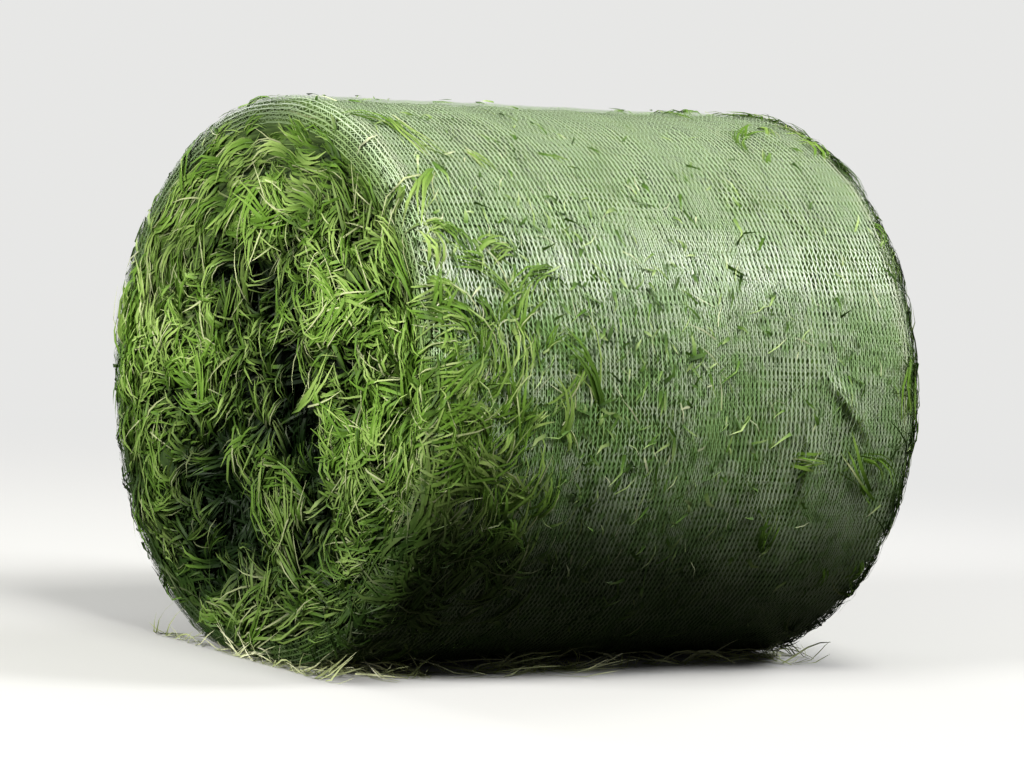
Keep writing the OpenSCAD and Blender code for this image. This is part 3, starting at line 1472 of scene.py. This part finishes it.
@dataclass
class SideGrass:
    """The mat's round side and rims: blades pressed flat under the net."""

    wrapping: Wrapping
    stock: TuftStock
    finish: GrassFinish
    name: str = "side_grass"
    count: int = 2300
    past_net: float = 0.030
    offset: float = -0.0035
    limit: float = 0.0005
    soft: float = 0.008
    flatten: float = 0.18
    turn: float = 0.45
    cell: float = 0.03
    patches: Patches = Patches(Grain(9.0, 3.0), gain=2.2, cut=0.35, least=0.35)
    by_shoulders: float = 0.8
    before_shoulder: float = 0.02
    shoulder_over: float = 0.03
    own_size: tuple[float, float] = (0.7, 1.3)
    size_share: float = 1.0
    seed: int = 11
    tuft_seed: int = 21

    def share(self, tree: GeometryTree) -> Socket:
        """How much of the full density lies at a flat place.

        Args:
            tree: The tree to write in.

        Returns:
            The share.
        """
        _, v, _ = tree.parts(tree.position)
        edge = (abs(v) - self.wrapping.straight + self.before_shoulder).rising(0.0, self.shoulder_over)
        return self.patches.at(tree) + edge * self.by_shoulders

    def strip(self, length: float, width: float) -> bpy.types.Mesh:
        """Makes a flat strip of small faces, so that the density can vary over it.

        Args:
            length: How long the strip is, from the start of the wrapping.
            width: How wide it is.

        Returns:
            The mesh.
        """
        columns = round(length / self.cell)
        rows = round(width / self.cell)
        points = [
            (length * i / columns, width * (j / rows - 0.5), 0.0)
            for i in range(columns + 1) for j in range(rows + 1)
        ]
        n = rows + 1
        faces = [
            (i * n + j, i * n + n + j, i * n + n + j + 1, i * n + j + 1)
            for i in range(columns) for j in range(rows)
        ]
        return plain_mesh("side_strip", points, faces)

    def build(self) -> bpy.types.Object:
        """Scatters tufts on a flat strip and lays it round the roll.

        Returns:
            The piece.
        """
        length = self.wrapping.length
        width = 2 * (self.wrapping.half_width + self.past_net)
        tree = GeometryTree(self.name, {
            "Tufts": self.stock.collection, "Finish": self.finish.material(),
            "Density": self.count / (length * width), "Offset": self.offset,
        })
        along = tree.chance(-self.turn, self.turn, self.tuft_seed + 1) + tree.either_way(self.tuft_seed)
        least, most = self.own_size
        own = tree.chance(least * self.size_share, most * self.size_share, self.tuft_seed + 2)
        size = tree.xyz(own, own, own * self.flatten)
        tufts = tree.scattered(self.seed, self.share(tree), tree.xyz(0.0, 0.0, along), size)
        u, v, h = tree.parts(tree.position)
        flat = tree.xyz(u, v, (h + tree.given_as("Offset")).held_under(self.limit, self.soft))
        laid = self.wrapping.apply(tree, flat, 1.0, 0.0)
        return tree.run(self.strip(length, width), self.name, tufts, laid, "mat_forage")


@dataclass
class ShoulderTangle(SideGrass):
    """Loose grass that has worked through the net by the shoulders, most of it by the near one in front."""

    name: str = "shoulder_tangle"
    count: int = 22000
    past_net: float = -0.010
    offset: float = 0.0010
    limit: float = 0.016
    flatten: float = 0.42
    turn: float = 1.4
    patches: Patches = Patches(Grain(15.0, 3.0), gain=3.4, cut=1.2, least=0.0)
    seed: int = 15
    fade_from: float = 0.16
    fade_over: float = 0.42
    fade_power: float = 2.5
    front_angle: float = 3.42
    front_half: float = 0.52
    elsewhere: float = 0.035

    def share(self, tree: GeometryTree) -> Socket:
        """How much of the full density lies at a flat place.

        Args:
            tree: The tree to write in.

        Returns:
            The share.
        """
        u, v, _ = tree.parts(tree.position)
        edge = abs(v).rising(self.fade_from, self.fade_over) ** self.fade_power
        near = tree.math("LESS_THAN", v, 0.0)
        front = (u / self.wrapping.sizes.mat_r).hump(self.front_angle, self.front_half) * near
        return edge * self.patches.at(tree) * (front * (1.0 - self.elsewhere) + self.elsewhere)


@dataclass
class RimFringe(SideGrass):
    """Bare grass that stands out past the net's edge all along the far rim."""

    name: str = "rim_fringe"
    count: int = 26000
    past_net: float = 0.0
    offset: float = 0.0060
    limit: float = 0.020
    flatten: float = 0.70
    patches: Patches = Patches(Grain(8.0), gain=2.4, cut=0.5, least=0.35)
    size_share: float = 0.55
    seed: int = 17
    over_shoulder: float = 1.15
    half_band: float = 0.015

    def share(self, tree: GeometryTree) -> Socket:
        """How much of the full density lies at a flat place.

        Args:
            tree: The tree to write in.

        Returns:
            The share.
        """
        _, v, _ = tree.parts(tree.position)
        middle = self.wrapping.straight + self.wrapping.sizes.shoulder * self.over_shoulder
        return v.hump(middle, self.half_band) * self.patches.at(tree)


@dataclass
class Chaff(SideGrass):
    """Short bits of leaf that cling to the net, most of them below its top."""

    name: str = "net_chaff"
    count: int = 14000
    past_net: float = -0.020
    offset: float = 0.0062
    limit: float = 0.014
    flatten: float = 0.60
    turn: float = 1.2
    patches: Patches = Patches(Grain(11.0, 3.0), gain=4.0, cut=1.4, least=0.1)
    seed: int = 19
    at_top: float = 0.10
    halfway: float = 0.45
    nearer_more: float = 0.9
    farthest: float = 0.12

    def share(self, tree: GeometryTree) -> Socket:
        """How much of the full density lies at a flat place.

        Args:
            tree: The tree to write in.

        Returns:
            The share.
        """
        u, v, _ = tree.parts(tree.position)
        level = abs(tree.math("COSINE", u / self.wrapping.sizes.mat_r))
        nearer = (self.halfway - v * self.nearer_more).clamped(self.farthest, 1.0)
        return (level * level * (1.0 - self.at_top) + self.at_top) * self.patches.at(tree) * nearer


@dataclass
class EndTangle:
    """The loose grass that covers an end face."""

    sizes: RollSizes
    relief: EndRelief
    end: End
    stock: TuftStock
    guides: Sequence[bpy.types.Object]
    finish: GrassFinish
    count: int = 1150
    bridging: float = 0.13
    disc_share: float = 0.9
    disc_rings: int = 12
    disc_sectors: int = 36
    least_facing: float = 0.3
    flow: Grain = Grain(4.5)
    flow_turn: float = 5.0 * math.pi
    scatter: float = 1.6
    rim_from: float = 0.66
    rim_over: float = 0.22
    rim_share: float = 0.85
    combed_align: float = 0.9
    combed_height: float = 0.30
    combed_share: float = 0.90
    combed_grain: Grain = Grain(7.0)
    combed_uneven: float = 0.5
    own_size: tuple[float, float] = (0.65, 1.2)
    fringe: float = 0.0
    fringe_from: float = 0.84
    fringe_over: float = 0.04
    below_swell: float = 0.018
    past_lip: float = 0.026
    ragged: float = 0.036
    ragged_grain: Grain = Grain(9.0)
    ragged_middle: float = 0.3
    under_net: float = 0.012
    rim_soft: float = 0.035
    proud: float = 0.013
    proud_soft: float = 0.016
    most_over: float = 0.95
    clear_of_ground: float = 0.006
    ground_soft: float = 0.020
    seed: int = 31
    tuft_seed: int = 41

    def guide(self) -> bpy.types.Mesh:
        """Takes the faces of the mat that look out of this end, with a smooth disc for what bridges its pits.

        Returns:
            A mesh to scatter tufts on, with the share of the density for each face.
        """
        sizes = self.sizes
        points: list[Vector] = []
        faces: list[Face] = []
        for piece in self.guides:
            for polygon in piece.data.polygons:
                centre = polygon.center
                r = math.hypot(centre.y - sizes.axis_y, centre.z - sizes.axis_z)
                if polygon.normal.x * self.end.value < self.least_facing or r > sizes.lip_r:
                    continue
                base = len(points)
                points.extend(piece.data.vertices[i].co for i in polygon.vertices)
                faces.append(tuple(range(base, base + len(polygon.vertices))))
        shares = [1.0] * len(faces)
        base = len(points)
        n = self.disc_sectors
        for ring in range(self.disc_rings + 1):
            r = sizes.lip_r * self.disc_share * ring / self.disc_rings
            x = self.end.value * (sizes.half_w + sizes.swell(r) - self.below_swell)
            points.extend(sizes.place(x, r, math.tau * i / n) for i in range(n))
        for start in range(base, base + self.disc_rings * n, n):
            for i in range(n):
                after = (i + 1) % n
                faces.append((start + i, start + after, start + n + after, start + n + i))
                shares.append(self.bridging)
        mesh = plain_mesh(f"{self.end.word}_guide", points, faces)
        store(mesh, "share", "FACE", shares)
        return mesh

    def contained(self, tree: GeometryTree) -> Socket:
        """Keeps the tangle inside the net's edge, off the ground and close to the end face.

        Args:
            tree: The tree to write in.

        Returns:
            The position of each point.
        """
        sizes = self.sizes
        facing = float(self.end.value)
        x, across, up, r = sizes.about_axis(tree, tree.position)
        rim = tree.xyz(across / r, up / r, facing)
        ragged = (tree.noise(rim, self.ragged_grain) - self.ragged_middle) * self.ragged * 2.0
        limit = (ragged + (sizes.lip_r + self.past_lip)).at_most(sizes.mat_r - self.under_net)
        kept_r = r.held_under(limit, self.rim_soft)
        kept = kept_r / r
        out = (x * facing).held_under(sizes.core_half_w + self.proud, self.proud_soft)
        over = ((kept_r - (sizes.mat_r - sizes.shoulder)) / sizes.shoulder).clamped(0.0, self.most_over)
        pull = (1.0 - tree.math("SQRT", 1.0 - over * over)) * sizes.shoulder
        drop = (-(up * kept)).held_under(sizes.axis_z - self.clear_of_ground, self.ground_soft)
        return tree.xyz((out - pull) * facing, across * kept + sizes.axis_y, sizes.axis_z - drop)

    def spin(self, tree: GeometryTree, combed: Socket) -> Socket:
        """Each tuft's rotation: a swirling flow that turns to run along the rim.

        Args:
            tree: The tree to write in.
            combed: How smooth the face lies at a place.

        Returns:
            The rotation.
        """
        _, y, z, r = self.sizes.about_axis(tree, tree.position)
        outward = tree.out("FunctionNodeAlignRotationToVector", {"axis": "Z"}, {
            "Vector": tree.xyz(float(self.end.value), 0.0, 0.0),
        })
        along = tree.out("FunctionNodeAlignRotationToVector", {"axis": "X", "pivot_axis": "Z"}, {
            "Rotation": outward, "Vector": tree.xyz(0.0, -z, y),
        })
        mat_r = self.sizes.mat_r
        rim = ((r - mat_r * self.rim_from) / (mat_r * self.rim_over)).clamped(0.0, self.rim_share)
        loose = 1.0 - rim.at_least(combed * self.combed_align)
        swirl = tree.swing(tree.position, self.flow, self.flow_turn)
        angle = (swirl + tree.chance(-1.0, 1.0, self.tuft_seed) * self.scatter) * loose
        turn = tree.out("FunctionNodeAxisAngleToRotation", inputs={
            "Axis": (0.0, 0.0, 1.0), "Angle": angle + tree.either_way(self.tuft_seed + 1),
        })
        return tree.out("FunctionNodeRotateRotation", {"rotation_space": "LOCAL"}, {0: along, 1: turn})

    def build(self) -> bpy.types.Object:
        """Scatters tufts over the end face, along the roll at the rim and every way in the middle.

        Returns:
            The piece.
        """
        sizes = self.sizes
        tree = GeometryTree(f"{self.end.word} end tangle", {
            "Tufts": self.stock.collection, "Finish": self.finish.material(),
            "Density": self.count / (math.pi * sizes.lip_r ** 2),
        })
        _, y, z, r = sizes.about_axis(tree, tree.position)
        upper = (z + y * self.relief.combed_lean) * (1.0 / sizes.mat_r)
        upper = upper + tree.swing(tree.position, self.combed_grain, self.combed_uneven)
        combed = upper.rising(self.relief.combed_from, self.relief.combed_over)
        fringe = ((r - sizes.mat_r * self.fringe_from) / self.fringe_over).clamped(0.0, 1.0)
        own = tree.chance(*self.own_size, self.tuft_seed + 2) * (fringe * self.fringe + 1.0)
        size = tree.xyz(own, own, own * (1.0 - combed * (1.0 - self.combed_height)))
        share = tree.out("GeometryNodeInputNamedAttribute", {"data_type": "FLOAT"}, {"Name": "share"})
        share = share * (1.0 - combed * (1.0 - self.combed_share))
        tufts = tree.scattered(self.seed, share, self.spin(tree, combed), size)
        name = f"{self.end.word}_end_tangle"
        return tree.run(self.guide(), name, tufts, self.contained(tree), "mat_forage")


@dataclass
class LooseStems:
    """Stems that have dropped from the bale and lie at its foot, most of them by the near front corner."""

    sizes: RollSizes
    stock: TuftStock
    finish: GrassFinish
    count: int = 60
    under_end: float = 0.01
    off_contact: float = 0.035
    spread: float = 0.060
    half_across: float = 0.2
    corner_x: float = -0.48
    corner_y: float = -0.20
    corner_half_x: float = 0.34
    corner_half_y: float = 0.12
    corner_more: float = 12.0
    rock: tuple[float, float] = (-0.3, 0.3)
    lean: tuple[float, float] = (-0.75, 0.1)
    own_size: tuple[float, float] = (0.6, 1.2)
    off_ground: float = 0.0012
    ground_soft: float = 0.004
    past_core: float = 0.010
    end_soft: float = 0.03
    seed: int = 61
    tuft_seed: int = 62

    def guide(self) -> bpy.types.Mesh:
        """Makes a narrow band on the ground round the bale's flat base.

        Returns:
            The mesh to scatter stems on.
        """
        sizes = self.sizes
        half_base = math.sqrt(sizes.mat_r ** 2 - (sizes.axis_z - sizes.base_z) ** 2)
        points = []
        for out in (0.0, self.spread):
            x = sizes.half_w - self.under_end + out
            y = half_base + self.off_contact + out
            points += [(-x, -y, 0.0), (x, -y, 0.0), (x, y, 0.0), (-x, y, 0.0)]
        faces = [(i, (i + 1) % 4, 4 + (i + 1) % 4, 4 + i) for i in range(4)]
        return plain_mesh("foot_band", points, faces)

    def build(self) -> bpy.types.Object:
        """Scatters the stems and lets them down on the ground.

        Returns:
            The piece.
        """
        sizes = self.sizes
        area = 4 * self.spread * (sizes.half_w + self.half_across)
        tree = GeometryTree("Loose stems", {
            "Tufts": self.stock.collection, "Finish": self.finish.material(), "Density": self.count / area,
        })
        x, y, z = tree.parts(tree.position)
        corner = x.hump(self.corner_x, self.corner_half_x) * y.hump(self.corner_y, self.corner_half_y)
        rock = tree.chance(*self.rock, self.tuft_seed)
        lean = tree.chance(*self.lean, self.tuft_seed + 1)
        spin = tree.xyz(rock, lean, tree.chance(0.0, math.tau, self.tuft_seed + 2))
        size = tree.chance(*self.own_size, self.tuft_seed + 3)
        stems = tree.scattered(self.seed, corner * self.corner_more + 1.0, spin, size)
        settled = -(-z).held_under(-self.off_ground, self.ground_soft)
        kept_x = abs(x).held_under(sizes.core_half_w + self.past_core, self.end_soft) * tree.math("SIGN", x)
        return tree.run(self.guide(), "loose_stems", stems, tree.xyz(kept_x, y, settled), "mat_forage")


@dataclass(frozen=True)
class FlatNoise:
    """Noise over the flat net: how often it changes along and across it, its layer, reach and detail."""

    along: float
    across: float
    layer: float
    reach: float = 1.0
    detail: float = 1.0

    def at(self, tree: GeometryTree, u: Socket, v: Socket) -> Socket:
        """The noise at a flat place, from 0 to 1."""
        return tree.noise(tree.xyz(u * self.along, v * self.across, self.layer), Grain(1.0, self.detail))

    def swing(self, tree: GeometryTree, u: Socket, v: Socket) -> Socket:
        """The noise at a flat place, to both sides of 0."""
        return (self.at(tree, u, v) - 0.5) * self.reach


@dataclass
class BaleNet:
    """Some turns of the knitted net: chains of thread round the bale with zigzag threads between them."""

    wrapping: Wrapping
    finish: NetFinish
    name: str
    first_turn: int
    turns: float
    nodes: tuple[str, ...]
    rests_on: str
    flat_width: float = 1.34
    chain_gap: float = 0.0112
    stitch: float = 0.0260
    chain_w: float = 0.0018
    weft_w: float = 0.0011
    lift: float = 0.0004
    thread_share: float = 0.32
    follow: float = 0.75
    bunch_from: float = 0.50
    trim_share: float = 0.1
    drift: FlatNoise = FlatNoise(along=1.6, across=3.5, layer=0.0, reach=0.020, detail=2.0)
    tug: FlatNoise = FlatNoise(along=14.0, across=9.0, layer=3.0, reach=0.008)
    slip: FlatNoise = FlatNoise(along=5.0, across=3.0, layer=7.0, reach=0.040)
    frayed: float = 0.0
    torn: FlatNoise = FlatNoise(along=0.0, across=60.0, layer=5.0, detail=2.0)
    loose_end: float = 0.07
    astray: FlatNoise = FlatNoise(along=9.0, across=45.0, layer=2.0)
    most_astray: float = 0.040
    raised: FlatNoise = FlatNoise(along=9.0, across=30.0, layer=8.0)
    most_raised: float = 0.012

    def stitch_mesh(self) -> bpy.types.Mesh:
        """Makes one stitch: a length of chain and the zigzag that runs to the next chain and back.

        Returns:
            The mesh.
        """
        points: list[Point] = []
        faces: list[Face] = []

        def strip(route: Sequence[Point], width: float) -> None:
            """Adds a flat strip.

            Args:
                route: The places that it runs through.
                width: How wide it is.
            """
            for (x0, y0, z0), (x1, y1, z1) in zip(route, route[1:]):
                run = Vector((x1 - x0, y1 - y0, 0.0)).normalized()
                side = Vector((-run.y, run.x, 0.0)) * (width / 2)
                base = len(points)
                points.extend(((x0 - side.x, y0 - side.y, z0), (x1 - side.x, y1 - side.y, z1),
                               (x1 + side.x, y1 + side.y, z1), (x0 + side.x, y0 + side.y, z0)))
                faces.append((base, base + 1, base + 2, base + 3))

        strip([(0, 0, self.lift), (self.stitch, 0, self.lift)], self.chain_w)
        strip([(0, 0, 0), (self.stitch / 2, self.chain_gap, 0), (self.stitch, 0, 0)], self.weft_w)
        return plain_mesh("stitch", points, faces)

    def woven(self, tree: GeometryTree, columns: int, rows: int) -> Socket:
        """Repeats the stitch over a flat grid.

        Args:
            tree: The tree to write in.
            columns: Number of stitches along the net.
            rows: Number of gaps between its chains.

        Returns:
            The stitches, made real, about the grid's middle.
        """
        grid = tree.out("GeometryNodeMeshGrid", inputs={
            "Size X": tree.given_as("Stitch length") * (columns - 1),
            "Size Y": tree.given_as("Chain spacing") * rows,
            "Vertices X": tree.given_as("Columns"), "Vertices Y": tree.given_as("Rows"),
        })
        return tree.real(tree.out("GeometryNodeInstanceOnPoints", inputs={
            "Points": grid, "Instance": tree.given_as("Geometry"),
        }))

    def drawn(self, tree: GeometryTree, u: Socket, v: Socket, h: Socket, stop: float) -> Socket:
        """Draws the flat net in at its edges and lets it wander, slip and fray.

        Args:
            tree: The tree to write in.
            u: The way along the net.
            v: The way across it.
            h: The way up from it.
            stop: Where along the net this piece ends.

        Returns:
            The flat position.
        """
        width = abs(v)
        bunched = (self.wrapping.half_width - self.bunch_from) / (self.flat_width / 2 - self.bunch_from)
        drawn = width.at_most(self.bunch_from) + (width - self.bunch_from).at_least(0.0) * bunched
        loose = u.rising(stop - self.loose_end, self.loose_end) * float(self.frayed > 0)
        astray = self.astray.swing(tree, u, v) * loose * self.most_astray
        raised = self.raised.at(tree, u, v) * loose * loose * self.most_raised + h
        wander = self.drift.swing(tree, u, v)
        across = drawn * tree.math("SIGN", v) + wander + self.tug.swing(tree, u, v) + astray
        return tree.xyz(self.slip.swing(tree, u, v) + u, across, raised)

    def build(self) -> bpy.types.Object:
        """Repeats the stitch over a flat strip and lays it round the roll.

        Returns:
            The piece.
        """
        length = self.wrapping.length * self.turns
        start = self.first_turn * self.wrapping.length
        rows = round(self.flat_width / self.chain_gap)
        columns = round(length / self.stitch)
        tree = GeometryTree("Net weave", {
            "Finish": self.finish.material(), "Columns": columns, "Rows": rows + 1,
            "Stitch length": self.stitch, "Chain spacing": self.flat_width / rows,
        })
        centred = tree.vector("ADD", tree.position, (start + (length - self.stitch) / 2, 0.0, 0.0))
        u, v, h = tree.parts(centred)
        torn = self.torn.at(tree, u, v) * self.frayed
        past_edge = tree.math("GREATER_THAN", v, self.flat_width / 2 + self.chain_gap * self.trim_share)
        past_end = tree.math("GREATER_THAN", u + torn, start + length)
        trimmed = tree.out("GeometryNodeDeleteGeometry", {"domain": "FACE"}, {
            "Geometry": self.woven(tree, columns, rows), "Selection": past_edge.at_least(past_end),
        })
        flat = self.drawn(tree, u, v, h, start + length)
        laid = self.wrapping.apply(tree, flat, self.follow, self.wrapping.sizes.net_pitch)
        made = tree.run(self.stitch_mesh(), self.name, trimmed, laid, "bale_net")
        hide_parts(*self.nodes)
        self.thread_share * self.flat_width * length
        return made


@dataclass(frozen=True)
class Lamp:
    """A soft round lamp: where it stands, how wide and how strong it is, and its colour."""

    name: str
    place: Point
    size: float
    power: float
    colour: Colour = (1.0, 1.0, 1.0)

    def build(self, target: Point) -> None:
        """Makes the lamp.

        Args:
            target: What it faces.
        """
        data = bpy.data.lights.new(self.name, "AREA")
        data.shape = "DISK"
        data.size = self.size
        data.energy = self.power
        data.color = self.colour
        made = in_scene(self.name, data)
        made.location = self.place
        made.rotation_euler = (Vector(target) - Vector(self.place)).to_track_quat("-Z", "Y").to_euler()


@dataclass(frozen=True)
class Studio:
    """A plain pale floor, soft lamps and the camera at the photo's viewing angle."""

    target: Point = (0.0, 0.0, 0.55)
    from_axis: float = math.radians(52.3)
    elevation: float = math.radians(5.0)
    distance: float = 10.3
    lens: float = 176.0
    sees_to: float = 200.0
    roll: float = math.radians(4.2)
    floor_reach: float = 60.0
    world_light: Colour = (0.07, 0.07, 0.07)
    lamps: tuple[Lamp, ...] = (
        Lamp("key", place=(-0.5, -4.3, 8.4), size=3.0, power=405.0, colour=(1.0, 0.98, 0.94)),
        Lamp("sheen", place=(5.2, -4.2, 5.9), size=2.2, power=410.0),
        Lamp("end", place=(-9.0, -1.2, 3.6), size=2.8, power=1050.0, colour=(1.0, 0.99, 0.95)),
        Lamp("back", place=(-1.2, 8.4, 4.4), size=4.0, power=260.0),
        Lamp("far", place=(8.6, 1.6, 3.8), size=2.8, power=300.0),
    )

    def camera(self) -> None:
        """Makes the camera."""
        flat = math.cos(self.elevation)
        away = Vector((-math.cos(self.from_axis) * flat, -math.sin(self.from_axis) * flat,
                       math.sin(self.elevation)))
        data = bpy.data.cameras.new("camera")
        data.lens = self.lens
        data.clip_end = self.sees_to
        made = in_scene("camera", data)
        turn = (-away).to_track_quat("-Z", "Y").to_matrix().to_4x4()
        made.matrix_world = (Matrix.Translation(Vector(self.target) + away * self.distance) @ turn
                             @ Matrix.Rotation(self.roll, 4, "Z"))
        bpy.context.scene.camera = made

    def floor(self) -> None:
        """Makes a wide flat floor."""
        far = self.floor_reach
        points = [(-far, -far, 0), (far, -far, 0), (far, far, 0), (-far, far, 0)]
        mesh = plain_mesh("floor", points, [(0, 1, 2, 3)])
        mesh.materials.append(FloorFinish().material())
        in_scene("floor", mesh)

    def world(self) -> None:
        """Makes a world that looks pale and throws little light."""
        made = bpy.data.worlds.new("pale_world")
        made.use_nodes = True
        graph = Graph(made.node_tree)
        colour = graph.mixed(graph.seen(), self.world_light, FloorFinish().backdrop)
        graph.fill(made.node_tree.nodes["Background"], {"Color": colour})
        bpy.context.scene.world = made

    def build(self) -> None:
        """Makes the camera, the floor, the lamps and the world."""
        self.camera()
        self.floor()
        for lamp in self.lamps:
            lamp.build(self.target)
        self.world()
        bpy.context.scene.view_settings.view_transform = "Standard"


def main() -> None:
    """Loads the frame, builds every piece round it and reports each one."""
    logging.basicConfig(level=logging.INFO, format="%(message)s")
    for left in list(bpy.data.objects):
        bpy.data.objects.remove(left)
    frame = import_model()
    turns = sum(name.startswith("mat_turn_") for name in frame["nodes"])
    sizes = RollSizes.measured(turns)
    relief = EndRelief(sizes, PITS)
    wrapping = Wrapping(sizes, PLEATS)
    mat = RolledMat(sizes, relief, MatFinish(sizes)).build()

    grass = GrassFinish(sizes, foot_share=0.50)
    worked = GrassFinish(sizes, name="worked_grass", foot_share=0.85)
    bleached = GrassFinish(sizes, PLEATS, name="bleached_grass", bleach=0.45)
    fallen = GrassFinish(sizes, name="fallen_grass", deep=(0.26, 0.32, 0.11), fresh=(0.52, 0.58, 0.27),
                         pale=(0.82, 0.84, 0.54), dry=(0.88, 0.87, 0.64), foot_share=0.0)
    # Painted shade: a darker copy of the cut grass for the fringe on the far rim, for the shade there.
    shaded = GrassFinish(sizes, name="rim_grass", deep=(0.020, 0.045, 0.008), fresh=(0.060, 0.120, 0.020),
                         pale=(0.160, 0.250, 0.060), dry=(0.300, 0.360, 0.150))
    flecked = GrassFinish(sizes, name="chaff_grass", deep=(0.020, 0.050, 0.008), fresh=(0.120, 0.250, 0.035),
                          pale=(0.560, 0.740, 0.280), dry=(0.780, 0.840, 0.520))
    knit = NetFinish(sizes, PLEATS)

    loose = TuftStock("loose_tufts", LOOSE, kinds=16, seed=3)
    bits = TuftStock("bits", BITS, kinds=24, seed=6)
    stems = TuftStock("stray_stems", STEMS, kinds=10, seed=5)
    pressed = TuftStock("pressed_tufts", PRESSED, kinds=12, seed=4)
    tail_turn = 64 / 360
    pieces = (
        EndTangle(sizes, relief, End.NEAR, loose, mat, grass),
        EndTangle(sizes, relief, End.FAR, loose, mat, grass, fringe=0.4, past_lip=0.034, proud=0.020,
                  seed=33),
        SideGrass(wrapping, pressed, bleached),
        ShoulderTangle(wrapping, loose, worked),
        BaleNet(wrapping, knit, "net_inner", 0, 1.0, ("net_turn_1",), "side_grass"),
        BaleNet(wrapping, knit, "net_outer", 1, 1.0 + tail_turn, ("net_turn_2", "net_tail"), "net_inner",
                frayed=0.09),
        RimFringe(wrapping, pressed, shaded),
        Chaff(wrapping, bits, flecked),
        LooseStems(sizes, stems, fallen),
    )
    made = mat + [piece.build() for piece in pieces]
    for stock in (loose, pressed, stems, bits):
        stock.clear()
    Studio().build()
    for piece in made:
        LOG.info("%s: %d triangles", piece.name, triangles(piece))
    LOG.info("all pieces: %d triangles", sum(triangles(piece) for piece in made))


if __name__ == "__main__":
    main()
